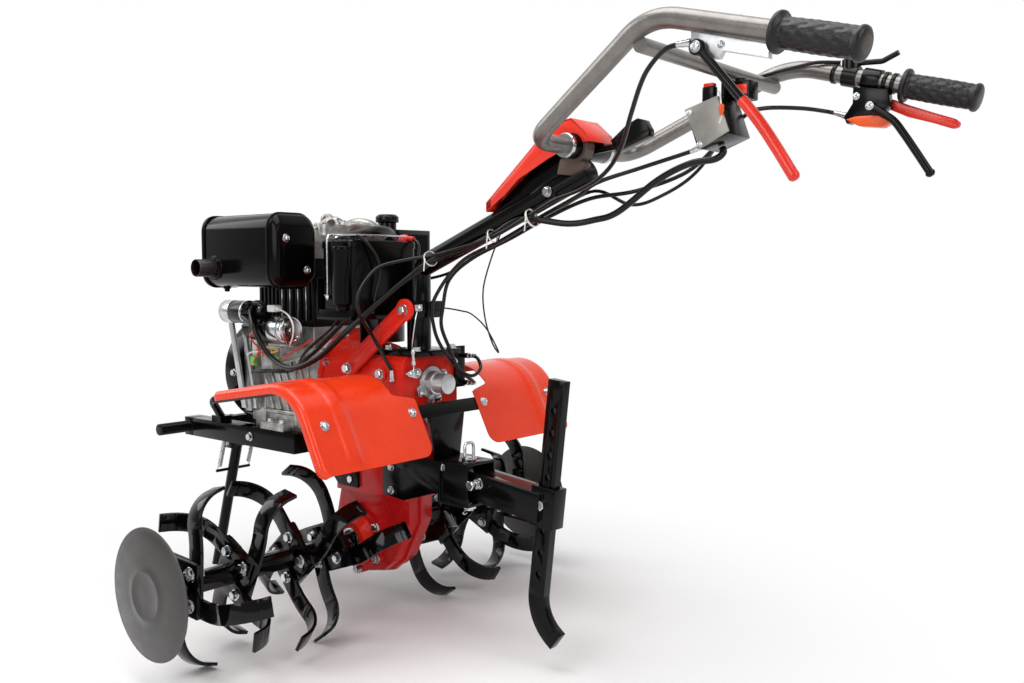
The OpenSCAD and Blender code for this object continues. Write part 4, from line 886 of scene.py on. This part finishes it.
def make_hitch_fittings():
    """Set bolts of the drawbar, the pin's nut, the cotter and the clip on it."""
    bolt, nut = hex_head(19, 10, 19, 0.6), hex_head(19, 8, 24, 1.6)
    shank = turned([(0, 0), (5.6, 0), (5.6, 26), (0, 26)], 18, (-366, 30, 373), (0, 1, 0))
    set_bolt = joined(coated(shank, zinc), copy_of(nut, facing((-366, 32, 373), (0, 1, 0), 11)),
                      copy_of(bolt, facing((-366, 52, 373), (0, 1, 0), 27)))
    finished(set_bolt, "drawbar_set_bolt", None, "machine")
    sleeve = [facing((-526, 20, 350), (0, 1, 0), 8), facing((-526, -20, 350), (0, -1, 0), 8)]
    scatter("stake_sleeve_bolts", bolt, sleeve, "machine")
    cotter = tube([(-310, y, z) for y, z in ((-16, 303), (0, 303), (15, 303), (20, 298), (14, 295),
                                             (8, 297))], 2.6)
    pin_nut = joined(copy_of(nut, facing((-310, 0, 318), (0, 0, -1), 5, 1.35)), coated(cotter, zinc))
    finished(pin_nut, "hitch_pin_nut", None, "machine")
    plate_bolts = [facing((-272, s * 40, 398), (-1, 0, 0), 10, 0.85) for s in (1, -1)]
    scatter("hitch_plate_bolts", nut, plate_bolts, "machine")
    cleared(bolt, nut)


def make_frame_fittings():
    """Bolts of the engine feet and the stand, and the open ends of the bumper tube."""
    bolt = hex_head(15, 7, 22, 1.8)
    feet = [facing((x, s * 112, 456), (0, 0, 1), 8 * x) for x in (196, 238) for s in (1, -1)]
    feet += [facing((300, s * 130, 414), (0, s, 0), 12) for s in (1, -1)]
    scatter("engine_foot_bolts", bolt, feet, "machine")
    for side, name in SIDES:
        rim = turned([(0, -9), (12.4, -9), (12.4, -0.4), (13, 0.3), (14.4, 0.3), (15, -0.4), (15, -3)], 32,
                     (569, side * 216.4, 413.5), (0, side, 0))
        finished(rim, "bumper_end_" + name, frame_black, "machine")
    cleared(bolt)


# Engine: starter motor and wires, battery, head, crankcase, tank and fan

FAN_BOLT_R = 105
# How far from the middle plane the crankcase's cast ribs lie
RIB_Y = 101


def make_starter():
    """Starter motor with a polished end cap and a black body, its solenoid and the boots on its leads."""
    at, along = (92, 158.3, 685), (1, 0, 0)
    cap = turned([(0, 0.4), (5, 0), (6.5, 1), (7, 2.6), (9, 2.8), (10, 1.2), (21, 1.2), (22.4, 2.6),
                  (24, 2.6), (25, 1.6), (30, 2.2), (32, 4), (33, 7), (33, 20), (32.2, 21), (32.2, 23)], 48)
    yoke = turned([(32.2, 23), (33, 23.6), (33, 56), (32.4, 57), (31.6, 58)], 48)
    drive = turned([(31.6, 58), (32.6, 60), (32.6, 100), (31, 104), (29, 128), (24, 131), (24, 159),
                    (0, 160)], 48)
    bracket = block((226, 124.6, 618), (246, 159, 712), 3)
    motor = joined(coated(placed(cap, at, along), turned_steel), coated(placed(yoke, at, along), zinc),
                   coated(placed(drive, at, along), pp_black), coated(bracket, cast_alu))
    finished(motor, "starter_motor_body", None, "machine", ("starter_motor",), 40)
    screw = dome_head(9, 4, 12, 1)
    screws = [facing((at[0] + 1.2, at[1] + s * 17, at[2] + s * 15), (-1, 0, 0)) for s in (1, -1)]
    scatter("starter_cap_screws", screw, screws, "machine")
    coil_at = (252.3, 158.3, 723)
    ring = turned([(0, 0), (26, 0), (28, 1.5), (28, 6), (27.4, 7)], 40)
    shell = turned([(27.4, 7), (27.4, 52), (27, 53)], 40)
    tip = turned([(27, 53), (28, 54), (28, 87), (26, 90), (20, 90), (18, 88.6), (6, 88.6), (5, 90),
                  (0, 90)], 40)
    neck = turned([(0, 0), (10, 0), (10, 14), (0, 14)], 24, (238.3, 158.3, 723), along)
    coil = joined(coated(placed(ring, coil_at, along), turned_steel),
                  coated(placed(shell, coil_at, along), pp_black),
                  coated(placed(tip, coil_at, along), zinc), coated(neck, zinc))
    finished(coil, "solenoid_body", None, "machine", ("solenoid",), 40)
    boots = [tube([(252, 160, 722), (232, 165, 720), (204, 168, 722), (178, 170, 726)], 24, 6, 3),
             tube([(250, 178, 712), (226, 184, 706), (196, 186, 698), (170, 184, 704)], 15, 6, 3),
             tube([(246, 150, 742), (222, 152, 744), (196, 158, 736), (172, 164, 724)], 17, 6, 3),
             tube([(214, 176, 736), (206, 186, 722), (200, 192, 704), (196, 190, 690)], 12, 6, 3)]
    finished(joined(*boots), "starter_boots", grip_rubber, "machine", (), 60)
    cleared(screw)


def make_wiring():
    """Coloured wires, plugs and sleeves between the starter and the crankcase."""
    plug = joined(block((128, 160, 727), (156, 180, 743), 2), block((120, 164, 730), (130, 176, 740), 1.5))
    finished(plug, "white_plug", nylon_white, "machine")
    white = [tube([(111, 182, 736), (89, 192, 734), (51, 200, 723), (29, 204, 701), (33, 202, 677),
                   (49, 196, 661), (73, 180, 651)], 4),
             tube([(269, 156, 621), (241, 162, 628), (212, 166, 631), (189, 170, 635), (169, 168, 641)], 4)]
    finished(joined(*white), "white_wires", wire_white, "machine", (), 60)
    red = [tube([(185, 198, 691), (195, 192, 679), (220, 182, 670), (215, 178, 656), (196, 175, 637),
                 (221, 168, 613), (251, 160, 593)], 4),
           tube([(196, 175, 637), (175, 176, 627), (149, 173, 622), (129, 170, 618)], 4),
           tube([(125, 170, 618), (99, 168, 627), (73, 164, 643), (51, 160, 653), (29, 150, 669)], 4)]
    finished(joined(*red), "red_wires", wire_red, "machine", (), 60)
    yellow = tube([(173, 176, 646), (149, 178, 644), (123, 176, 639), (147, 174, 633), (183, 170, 630),
                   (205, 162, 623)], 4)
    finished(yellow, "yellow_wire", wire_yellow, "machine", (), 60)
    green = [block((125, 164, 612), (141, 176, 624), 2), block((229, 154, 597), (245, 165, 618), 2)]
    finished(joined(*green), "green_connectors", nylon_green, "machine")
    dark = [tube([(268, 142, 578), (236, 146, 581), (200, 146, 585), (158, 142, 586), (130, 128, 590)],
                 10, 6, 3),
            tube([(120, 128, 592), (92, 142, 604), (65, 148, 616), (27, 140, 643), (-8, 130, 676),
                  (-40, 121, 704), (-70, 128, 724)], 9, 6, 3),
            tube([(100, 130, 612), (60, 152, 632), (20, 148, 662), (-20, 136, 694), (-60, 140, 730)],
                 6, 6, 3)]
    finished(joined(*dark), "wire_sleeves", jacket_black, "machine", (), 60)


def make_battery_fittings():
    """Case with its lid, caps and posts, the boots and leads, the hold-down with a strip of painted
    highlight on its edge, and the canister beside it.
    """
    rod = tube([(-57, 176, 762), (-57, 176, 800), (-57, 176, 860), (-57, 176, 892), (-58, 168, 899),
                (-60, 156, 900)], 5.2)
    nut = stud_nut(11, 7, 6, 12)
    pieces = [coated(rod, zinc), copy_of(nut, facing((-57, 176, 770), (0, 0, -1)))]
    strap = block((-132, 148, 897), (-40, 164, 900.4), 0.8)
    # A bright zinc strip along the case's rear top edge: a painted highlight for the light caught on the
    # edge of the black hold-down
    rim = block((-132, 10, 897), (-127.6, 150, 900.4), 0.8)
    finished(joined(*pieces, coated(strap, zinc), coated(rim, zinc)), "battery_hold_down", None, "machine")
    canister = turned([(0, 0), (12, 0), (14, 3), (14, 10), (20, 14), (21, 17), (21, 126), (22.5, 128),
                       (22.5, 135), (20, 138), (8, 140), (8, 145), (0, 146)], 40,
                      (-106, 177, 736), (0, 0, 1))
    finished(canister, "battery_side_canister", muffler_black, "machine", (), 40)
    boot = turned([(0, 0), (12, 0), (12.6, 4), (12, 12), (8, 17), (0, 18)], 20, (-106, -6, 886), (0, 0, 1))
    sleeve = tube([(-106, -6, 893), (-118, -8, 894), (-134, -10, 892)], 13, 6, 3)
    finished(joined(boot, sleeve), "battery_boot_red", wire_red, "machine", (), 50)
    boot = turned([(0, 0), (11, 0), (11.6, 4), (11, 10), (7, 15), (0, 16)], 20, (-106, 152, 886), (0, 0, 1))
    lead = tube([(-106, 152, 896), (-124, 148, 896), (-139, 134, 880), (-142, 108, 846), (-141, 100, 812),
                 (-138, 110, 770), (-134, 116, 728)], 7.5, 6, 3)
    finished(joined(boot, lead), "battery_lead_black", jacket_black, "machine", (), 50)
    red = tube([(-132, -10, 892), (-148, -10, 880), (-152, -4, 850), (-146, 2, 800), (-138, 4, 730)],
               7.5, 6, 3)
    finished(red, "battery_lead_red", jacket_black, "machine", (), 50)
    low, high = (-130, -26), (-26, 172)

    def ring(z, take, r):
        return z, rounded(low, high, r, 5, take)

    parts = [lofted([ring(724, 2, 14), ring(872, 2, 14)], "Z"),
             lofted([ring(871, 1, 14), ring(872, 0, 15), ring(885, 0, 15), ring(888, 3, 12)], "Z")]
    for k in range(6):
        parts.append(turned([(0, 0), (9, 0), (9, 2), (7.4, 3.4), (0, 3.6)], 20,
                            (-52, 2 + 28.4 * k, 887.6), (0, 0, 1)))
    parts = [coated(part, pp_black) for part in parts]
    for y in (-6, 152):
        post = turned([(0, 0), (8, 0), (8, 9), (7, 10), (0, 10)], 20, (-106, y, 888), (0, 0, 1))
        parts.append(coated(post, zinc))
    finished(joined(*parts), "battery_case", None, "machine", ("battery",), 40)
    cleared(nut)


def make_head_fittings():
    """Bolts on the head, injector line, breather hose, intake elbow, side stays and bright fin edges."""
    bolt, nut = hex_head(15, 8, 22, 2), stud_nut(14, 8, 8, 14)
    heads = [facing((x, 0, 939), (0, 0, 1), x) for x in (122, 246)]
    heads += [facing((x, s * 88, 905), (0, 0, 1), x) for x in (104, 284) for s in (1, -1)]
    scatter("head_bolts", bolt, heads, "machine")
    nuts = [facing((x, s * 88, 905), (0, 0, 1), 20) for x in (164, 226) for s in (1, -1)]
    scatter("head_nuts", nut, nuts, "machine")
    line = tube([(150, -60, 934), (150, -30, 950), (140, 10, 948), (120, 50, 930), (104, 80, 920),
                 (92, 100, 912)], 6)
    finished(line, "injector_line", zinc, "machine", (), 60)
    hose = tube([(84, 60, 880), (40, 66, 892), (0, 60, 900), (-30, 30, 912), (-30, -20, 914), (0, -70, 904),
                 (30, -104, 890)], 22, 8, 3)
    finished(hose, "breather_hose", grip_rubber, "machine", (), 60)
    clamp = turned([(10.6, 0), (12.2, 0), (12.2, 8), (10.6, 8), (10.6, 0)], 28,
                   (34, 65.6, 893.4), (-1, -0.06, 0.22))
    finished(clamp, "hose_clamp", zinc, "machine")
    elbow = joined(tube([(108, -20, 926), (84, -34, 934), (62, -52, 930), (48, -72, 914), (44, -84, 900)],
                        28, 8, 4),
                   tube([(126, 30, 934), (104, 34, 940), (92, 40, 934)], 20, 8, 4),
                   turned([(0, 0), (19, 0), (19, 7), (17, 8), (0, 8)], 28,
                          (112, -18, 924), (-0.8, -0.5, 0.25)))
    finished(elbow, "intake_elbow", cast_alu, "machine", (), 50)
    stays = joined(side_plate([(344, 705), (362, 705), (310, 487), (292, 487)], 139, 146, 1.2),
                   side_plate([(312, 690), (325, 690), (281, 487), (268, 487)], 126, 133, 1.2))
    finished(stays, "engine_side_stays", machined_alu, "machine")
    fins = [block((x, 95, 704), (x + 3.4, 97.6, 836), 0.6) for x in (116, 146, 176, 206)]
    finished(joined(*fins), "fin_edges", turned_steel, "machine")
    cleared(bolt, nut)


def make_crankcase_ribs():
    """Cast ribs that fan out over the crankcase's left and right sides."""
    for side, name in SIDES:
        ribs = []
        for k in range(6):
            low, high = (92 + 30 * k, side * RIB_Y, 486), (150 + 26 * k, side * RIB_Y, 612 - 6 * k)
            ribs.append(tube([low, high], 9, 1, 2))
        ribs.append(tube([(84, side * RIB_Y, 480), (268, side * RIB_Y, 480)], 12, 1, 2))
        ribs.append(tube([(120, side * RIB_Y, 618), (286, side * RIB_Y, 584)], 11, 1, 2))
        finished(joined(*ribs), "crankcase_ribs_" + name, cast_alu, "machine", (), 50)


def make_tank_and_fan():
    """Weld seam and tap of the fuel tank, and the pull starter's cap, screws and handle."""
    low, high = (18.6, -236.4), (291.4, -105.6)
    rings = ((859.4, 1.4, 14), (860, 0, 15), (863, 0, 15), (863.6, 1.4, 14))
    seam = lofted([(z, rounded(low, high, r, 5, take)) for z, take, r in rings], "Z")
    finished(seam, "tank_seam", frame_black, "machine", (), 40)
    tap = turned([(0, 0), (9, 0), (9, 10), (6, 12), (6, 22), (8, 23), (8, 30), (0, 31)], 20,
                 (60, -190, 801), (0, 0, -1))
    fuel_line = tube([(60, -190, 772), (60, -186, 752), (66, -170, 736), (84, -140, 726), (100, -112, 724)],
                     7, 6, 3)
    finished(joined(coated(tap, zinc), coated(fuel_line, jacket_black)), "fuel_tap", None, "machine", (), 50)
    cap = turned([(0, 4.6), (34, 4.6), (38, 3.4), (40, 1), (40, -1)], 48)
    finished(placed(cap, (442, 0, CRANK_Z), (1, 0, 0)), "pull_starter_cap", pp_black, "machine")
    bolt = hex_head(13, 6, 18, 1.6, 16)
    places = [facing((409.6, FAN_BOLT_R * math.cos(a), CRANK_Z + FAN_BOLT_R * math.sin(a)), (1, 0, 0),
                     40 * a)
              for a in [math.radians(30 + 60 * k) for k in range(6)]]
    places += [facing((350, s * 138, CRANK_Z), (0, s, 0), 10) for s in (1, -1)]
    scatter("fan_housing_bolts", bolt, places, "machine")
    handle = turned([(0, 0), (7, 1), (9.4, 6), (8, 30), (9.4, 54), (7, 59), (0, 60)], 24,
                    (388, -112, 668), (0, 0.72, 0.7))
    rope = tube([(388, -90, 690), (392, -84, 676), (398, -70, 662), (404, -62, 650)], 4, 6, 2)
    finished(joined(coated(handle, grip_rubber), coated(rope, wire_white)), "pull_handle", None, "machine",
             (), 50)
    cleared(bolt)


# Cables: jackets on the routes of the solids, ferrules, ties and the spare loop

# Each cable: its diameter and the points of its route
CABLES = {
    "cable_clutch": (8, [(-988.4, 254, 1160.4), (-980, 254, 1160.6), (-944, 252, 1158), (-907, 240, 1137),
                         (-879, 222, 1114), (-842, 190, 1078), (-784, 135, 1028), (-718, 90, 994),
                         (-642, 58, 973), (-570, 42, 958), (-500, 34, 930), (-400, 34, 889), (-300, 52, 862),
                         (-253, 62, 853), (-203, 100, 842), (-175, 133, 830), (-168, 160, 808),
                         (-171, 190, 771), (-168, 183, 731), (-130, 113, 678), (-157, 98, 624),
                         (-165, 90.6, 600), (-166, 89.6, 581)]),
    "cable_throttle": (7, [(-1013.4, -254, 1208), (-1005, -250, 1208.6), (-975, -236, 1210),
                           (-947, -228, 1206), (-902, -213, 1197), (-868, -196, 1184), (-858, -172, 1150),
                           (-846, -142, 1096), (-800, -104, 1010), (-740, -78, 966), (-680, -62, 950),
                           (-600, -54, 980), (-500, -54, 944), (-400, -54, 903), (-300, -54, 862),
                           (-190, -60, 815), (-60, -60, 800), (30, -80, 830), (83.4, -90, 867.6)]),
    "cable_reverse": (8, [(-1027.5, -250, 1108), (-1016, -251, 1112), (-990, -248, 1120), (-957, -205, 1124),
                          (-917, -140, 1120), (-893, -112, 1106), (-850, -102, 1062), (-790, -84, 1008),
                          (-700, -50, 975), (-600, -38, 964), (-500, -36, 932), (-400, -36, 891),
                          (-300, -22, 848), (-264, 12, 802), (-254, 22, 740), (-252, 24, 700),
                          (-258, 4, 650), (-262, -20, 606), (-272, -52, 589), (-266, -87, 603),
                          (-248, -95, 625), (-217.6, -98, 628)]),
    "cable_shift": (8, [(-850.9, -30, 1046.5), (-832, -29.5, 1039.7), (-811, -28, 1034), (-726, -20, 1014),
                        (-645, 0, 991), (-600, 6, 966), (-500, -6, 930), (-400, 0, 884), (-300, 14, 840),
                        (-242, 37, 759), (-242, 38, 702), (-248, 17, 652), (-252, -36, 599),
                        (-250, -78, 574), (-233, -96.5, 566.6), (-217.8, -98, 566)]),
    "harness": (13, [(-875.1, -60, 1044.6), (-878, -59, 1035), (-862, -56, 1024), (-815, -50, 1019),
                     (-752, -42, 992), (-671, -30, 935), (-621, -22, 921), (-566, -8, 915),
                     (-473, 20, 925.6), (-400, 23, 897), (-320, 32, 864), (-244, 50, 840), (-182, 125, 766),
                     (-126, 180, 696), (-56, 205, 634), (37, 208, 606), (120, 200, 628), (163, 200, 667),
                     (180, 199, 695), (215, 181, 730)]),
}


def make_cables():
    """Five jackets that bend between the column and the handlebar."""
    for node, (d, route) in CABLES.items():
        jacket = finished(tube(route, d, 8, 3), node + "_jacket", jacket_black, None, (node,), 60)
        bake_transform(jacket)
    ferrule = coated(turned([(0, 0), (6.6, 0), (6.6, 5), (5.4, 6), (5.4, 16), (4.6, 17), (4.6, 24), (0, 25)],
                            18), zinc)
    ends = [facing((-166, 89.6, 582), (-0.06, 0.12, 1), 0), facing((-217.6, -98, 628), (-1, 0.1, 0.05)),
            facing((-217.8, -98, 566), (-1, 0.1, 0.02))]
    scatter("cable_ferrules", ferrule, ends, "machine")
    tops = [facing((-988.4, 254, 1160.4), (1, 0, 0.02)), facing((-1028, -250, 1108), (0.93, -0.05, 0.32)),
            facing((-850.9, -30, 1046.5), (0.93, 0.02, -0.34))]
    scatter("cable_adjusters", ferrule, tops, "handlebar_set")
    tie = coated(turned([(21, 0), (22.4, 0), (22.4, 5), (21, 5), (21, 0)], 28), nylon_white)
    ties = []
    holds = (((-500, 23, 926), (-0.92, 0, 0.38), 0.86), ((-400, 28, 893), (-0.92, 0, 0.38), 0.64),
             ((-250, 56, 847), (-0.85, 0.2, 0.3), 0.74))
    for at, along, scale in holds:
        band = copy_of(tie, facing(at, along, 0, scale))
        rim = Vector(at) + Vector((0, 21 * scale, 0))
        tail = tube([rim, rim + Vector((-3, 5, -8)), rim + Vector((-2, 6, -26))], 2.8)
        ties += [band, coated(tail, nylon_white)]
    finished(joined(*ties), "cable_ties", None, "machine", (), 50)
    loop = tube([(-364, -40, 898), (-336, -40, 841), (-316, -40, 780), (-321, -40, 720), (-341, -40, 668),
                 (-356, -42, 647), (-352, -44, 655), (-318, -46, 698), (-277, -46, 726), (-247, -44, 733),
                 (-201, -40, 738), (-166, -34, 737)], 3.4, 8, 2)
    finished(loop, "spare_cable_loop", jacket_black, "machine", (), 60)
    cleared(ferrule, tie)


# Handlebar: grips, levers, brackets and the switch console

BAR_END, BAR_HIGH = Vector((-1252, 267, 1119)), Vector((-915, 252, 1214))
GRIP_STEPS = 46
DIMPLES_FROM, DIMPLES_TO, DIMPLE_ROWS = 14, 120, 8
# The planes in which the three hand levers lie
CLUTCH_Y, BRAKE_Y, SAFETY_Y = 265.6, -231.2, -269.3


def make_grips():
    """Moulded grips with a flange, rows of dimples and a capped end."""
    along = (BAR_HIGH - BAR_END).normalized()
    profile = [(0, 0), (14, 0), (20, 0.8), (23.4, 3), (24.6, 6), (24.6, 9), (22.6, 12)]
    profile += [(22.2 + 0.8 * math.sin(math.pi * k / GRIP_STEPS), 12 + 110 * k / GRIP_STEPS)
                for k in range(1, GRIP_STEPS)]
    profile += [(22.2, 122), (24, 124.5), (28.6, 125.6), (30, 127.4), (30, 131), (28.8, 133.4), (26, 134),
                (16.4, 134)]
    grip = turned(profile, 64)
    for dot in grip.data.vertices:
        z, r = dot.co.z / MM, math.hypot(dot.co.x, dot.co.y) / MM
        if DIMPLES_FROM < z < DIMPLES_TO and r > 18:
            row = (z - DIMPLES_FROM) / (DIMPLES_TO - DIMPLES_FROM)
            swing = math.pi * DIMPLE_ROWS * row
            wave = math.sin(swing) * math.sin(DIMPLE_ROWS * math.atan2(dot.co.y, dot.co.x))
            press = 1 - 0.075 * max(wave, 0) ** 0.5 - 0.025 * math.cos(swing) ** 2
            dot.co.x, dot.co.y = dot.co.x * press, dot.co.y * press
    placed(grip, BAR_END - along * 4, along)
    left = finished(grip, "grip_left_rubber", grip_rubber, "handlebar_set", ("grip_left",), 60)
    mirrored(left, "grip_right_rubber", "handlebar_set", ("grip_right",))
    cap = turned([(0, -0.6), (9, -0.6), (13, 0), (14.4, 1), (14.4, 2), (0, 2)], 32)
    cap = finished(placed(cap, BAR_END - along * 4.2, along), "grip_left_cap", plug_brown, "handlebar_set")
    mirrored(cap, "grip_right_cap", "handlebar_set")


def make_hand_levers():
    """Clutch lever with a red sleeve, brake lever, flat safety lever and its lock, studs, pins and clips."""
    y = CLUTCH_Y
    boss = turned([(0, -7), (11, -7), (12, -6), (12, 6), (11, 7), (0, 7)], 28, (-1006, y, 1149), (0, 1, 0))
    arm = tube([(-1006, y, 1149), (-1030, y, 1122), (-1062, y, 1085), (-1090, y, 1052)], 13, 6, 3)
    sleeve = tube([(-1078, y, 1066), (-1084, y, 1059), (-1102, y, 1037), (-1118, y, 1015), (-1138, y, 985),
                   (-1154, y, 960), (-1159, y, 953)], 17, 6, 3)
    tip = turned([(0, 0), (8.5, 0), (8.2, 3), (6, 6), (3, 7), (0, 7.4)], 24,
                 (-1158, y, 954), (-0.55, 0, -0.83))
    clutch = joined(coated(boss, pp_black), coated(arm, pp_black), coated(sleeve, lever_red),
                    coated(tip, lever_red))
    finished(clutch, "clutch_lever_sleeve", None, "handlebar_set", ("clutch_lever",), 50)
    y = BRAKE_Y
    arm = tube([(-1080, y, 1118), (-1100, y, 1105), (-1122, y, 1088), (-1140, y, 1064), (-1164, y, 1028),
                (-1188, y, 991)], 14, 8, 3)
    tip = turned([(0, 0), (8.6, 0), (8.2, 4), (5, 7.6), (0, 8.4)], 24, (-1186, y, 994), (-0.55, 0, -0.83))
    finished(joined(arm, tip), "brake_lever_arm", pp_black, "handlebar_set", ("brake_lever",), 50)
    outline = [(-1086, 1137), (-1110, 1131), (-1138, 1118), (-1180, 1101), (-1216, 1087), (-1224, 1080),
               (-1222, 1072), (-1212, 1070), (-1176, 1084), (-1134, 1098), (-1106, 1112), (-1086, 1122)]
    blade = side_plate(outline, SAFETY_Y - 8, SAFETY_Y + 7, 3)
    finished(blade, "safety_lever_blade", lever_red, "handlebar_set", ("safety_lever",), 50)
    lock = side_plate([(-1030, 1100), (-1056, 1086), (-1098, 1080), (-1112, 1088), (-1108, 1102),
                       (-1084, 1103), (-1050, 1104)], -264, -236, 3)
    finished(lock, "safety_lock", lever_orange, "handlebar_set", (), 50)
    nut = stud_nut(13, 7, 7, 13)
    studs = [facing((-1028, 254, 1186), (0.27, 0, 0.96)), facing((-1071, 255, 1176), (0.27, 0, 0.96))]
    scatter("clutch_clamp_studs", nut, studs, "handlebar_set")
    pin = dome_head(13, 5, 17, 1.4)
    pins = [facing((-1006, 272.6, 1149), (0, 1, 0)), facing((-1080, -224.6, 1118), (0, 1, 0), 0, 0.9),
            facing((-1050, -238, 1140), (0, 1, 0), 0, 0.8), facing((-1040, 258, 1150), (0, 1, 0), 0, 0.7)]
    scatter("lever_pins", pin, pins, "handlebar_set")
    clip = turned([(16.2, 0), (18.4, 0), (18.8, 1), (18.8, 6), (18.4, 7), (16.2, 7), (16.2, 0)], 32)
    aim = (BAR_END - BAR_HIGH).normalized()
    clips = []
    for s in (165, 150, 262):
        at = BAR_END - aim * s
        clips.append(copy_of(clip, facing((at.x, -at.y, at.z), (aim.x, -aim.y, aim.z))))
    finished(joined(*clips), "bar_clips", pp_black, "handlebar_set", (), 40)
    cleared(nut, pin, clip)


def make_console():
    """Switch box on the cross brace: folded sheet, rocker switch, key tab, wire and bullet connector."""
    softened("console", 2.0, pp_black)
    face = side_plate([(-828, 1110), (-893, 1128), (-917, 1065), (-860, 1038)], -8, -5, 0.8)
    finished(face, "console_face", console_grey, "handlebar_set")
    switch = joined(coated(block((-934, -82, 1124), (-896, -46, 1158), 3), pp_black),
                    coated(block((-930, -46.6, 1132), (-908, -43, 1150), 1.2), lever_red),
                    coated(block((-918, -78, 1157), (-902, -52, 1164), 2), pp_black))
    finished(switch, "console_switch", None, "handlebar_set", (), 40)
    tab = joined(coated(block((-876, -40, 1118), (-852, -24, 1150), 3), pp_black),
                 coated(block((-874, -39, 1149), (-854, -25, 1156), 2), lever_red))
    finished(tab, "console_key", None, "handlebar_set", (), 40)
    wire = tube([(-888, -20, 1138), (-896, -10, 1130), (-902, -4, 1108), (-903, -4, 1092),
                 (-899, -5, 1080)], 3)
    bullet = turned([(0, 0), (4, 0), (4.6, 2), (4.6, 12), (3, 14), (3, 19), (0, 20)], 16,
                    (-902.5, -4, 1112), (0.02, 0, -1))
    wired = joined(coated(wire, wire_white), coated(bullet, lever_orange))
    finished(wired, "console_wire", None, "handlebar_set", (), 50)
    screw = dome_head(8, 3, 11, 0.8)
    places = [facing((x, -5, z), (0, 1, 0)) for x, z in ((-838, 1104), (-860, 1046))]
    scatter("console_screws", screw, places, "handlebar_set")
    cleared(screw)


# Column: moulded cover, a web that partly paints shade, clamp and collars

# The cover's upper and lower edges and the middle of the sleeve, in X and Z
COVER_TOP = [(-384, 962), (-552, 1094), (-586, 1107), (-612, 1111), (-646, 1082), (-654, 1064)]
COVER_LOW = [(-384, 942.5), (-446, 980), (-476, 1004), (-524, 1024), (-556, 1038)]
SLEEVE_X, SLEEVE_Z = -614, 1057
COVER_CUT_R = 25.4
# In front of this X the cover narrows, over a length, by a share of its width
NOSE_FROM, NOSE_LEN, NOSE_TAKE = -560, 176, 0.36


def make_column_cover():
    """Thin moulded cover over the top of the column, cut out around the sleeve."""
    turns = [math.radians(a) for a in (164, 145, 120, 90, 60, 35, 10, -14)]
    arch = [(SLEEVE_X + COVER_CUT_R * math.cos(a), SLEEVE_Z + COVER_CUT_R * math.sin(a)) for a in turns]
    wall = COVER_TOP + arch + COVER_LOW[::-1]
    under = [(-650.6, 1065.6), (-643, 1080), (-611.2, 1106.8), (-587, 1102.8), (-554, 1090), (-387.4, 959)]
    shell = joined(side_plate(wall, 40.6, 44, 0.8), side_plate(wall, -44, -40.6, 0.8),
                   side_plate(COVER_TOP + under, -44, 44, 1.4),
                   side_plate([(-384, 942.5), (-384, 962), (-400, 974), (-400, 952)], -44, 44, 1.4))
    for dot in shell.data.vertices:
        dot.co.y *= 1 - NOSE_TAKE * min(max((dot.co.x / MM - NOSE_FROM) / NOSE_LEN, 0), 1)
    finished(shell, "column_cover_shell", abs_red, "machine", ("column_cover",), 35)


def make_column_fittings():
    """Bright collars at the sleeve, the cast clamp on it, the black web under the cover that partly paints
    its shade, and the bolted lug.
    """
    collar = turned([(16.4, 0), (23, 0), (23.6, 1), (23.6, 8), (22, 10), (16.4, 10), (16.4, 0)], 36)
    for side, name in SIDES:
        ring = copy_of(collar, facing((SLEEVE_X, side * 58, SLEEVE_Z), (0, side, 0)))
        finished(ring, "sleeve_ring_" + name, turned_steel, "machine")
    # A black web under the cover: the gusset there, made large enough to hide the cover's red inner walls,
    # as painted shade for their shadow
    web = side_plate([(-400, 932), (-404, 953), (-470, 1003), (-530, 1048), (-570, 1074), (-589, 1072),
                      (-590, 1040), (-586, 1010)], -18, 18, 2)
    finished(web, "column_shade_web", frame_black, "machine")
    clamp = turned([(23.1, 0), (29, 0), (31, 2), (31, 26), (29, 28), (23.1, 28), (23.1, 0)], 44,
                   (SLEEVE_X, 10, SLEEVE_Z), (0, 1, 0))
    foot = side_plate([(-572, 1008), (-580, 1038), (-596, 1036), (-634, 1030), (-640, 1024), (-630, 1014),
                       (-604, 1004)], 12, 36, 3)
    finished(joined(clamp, foot), "sleeve_clamp", cast_brown, "machine", (), 40)
    lug = side_plate([(-496, 974), (-512, 963), (-562, 967), (-555, 998), (-534, 996)], 10, 23.6, 1.2)
    finished(lug, "column_lug", frame_black, "machine")
    bolt = hex_head(15, 7, 22, 1.8)
    scatter("column_bolts", bolt, [facing((-541, 23.6, 977), (0, 1, 0), 10)], "machine")
    cleared(collar, bolt)


set_camera()
add_lamps()
make_floor()
make_world()
dress_nodes()
make_cables()
make_fenders()
make_reels()
make_muffler()
make_springs()
make_castings()
make_gearbox_fittings()
make_hitch_fittings()
make_frame_fittings()
make_starter()
make_wiring()
make_battery_fittings()
make_head_fittings()
make_crankcase_ribs()
make_tank_and_fan()
make_grips()
make_hand_levers()
make_console()
make_column_cover()
make_column_fittings()

bpy.context.scene.view_settings.view_transform = "Standard"
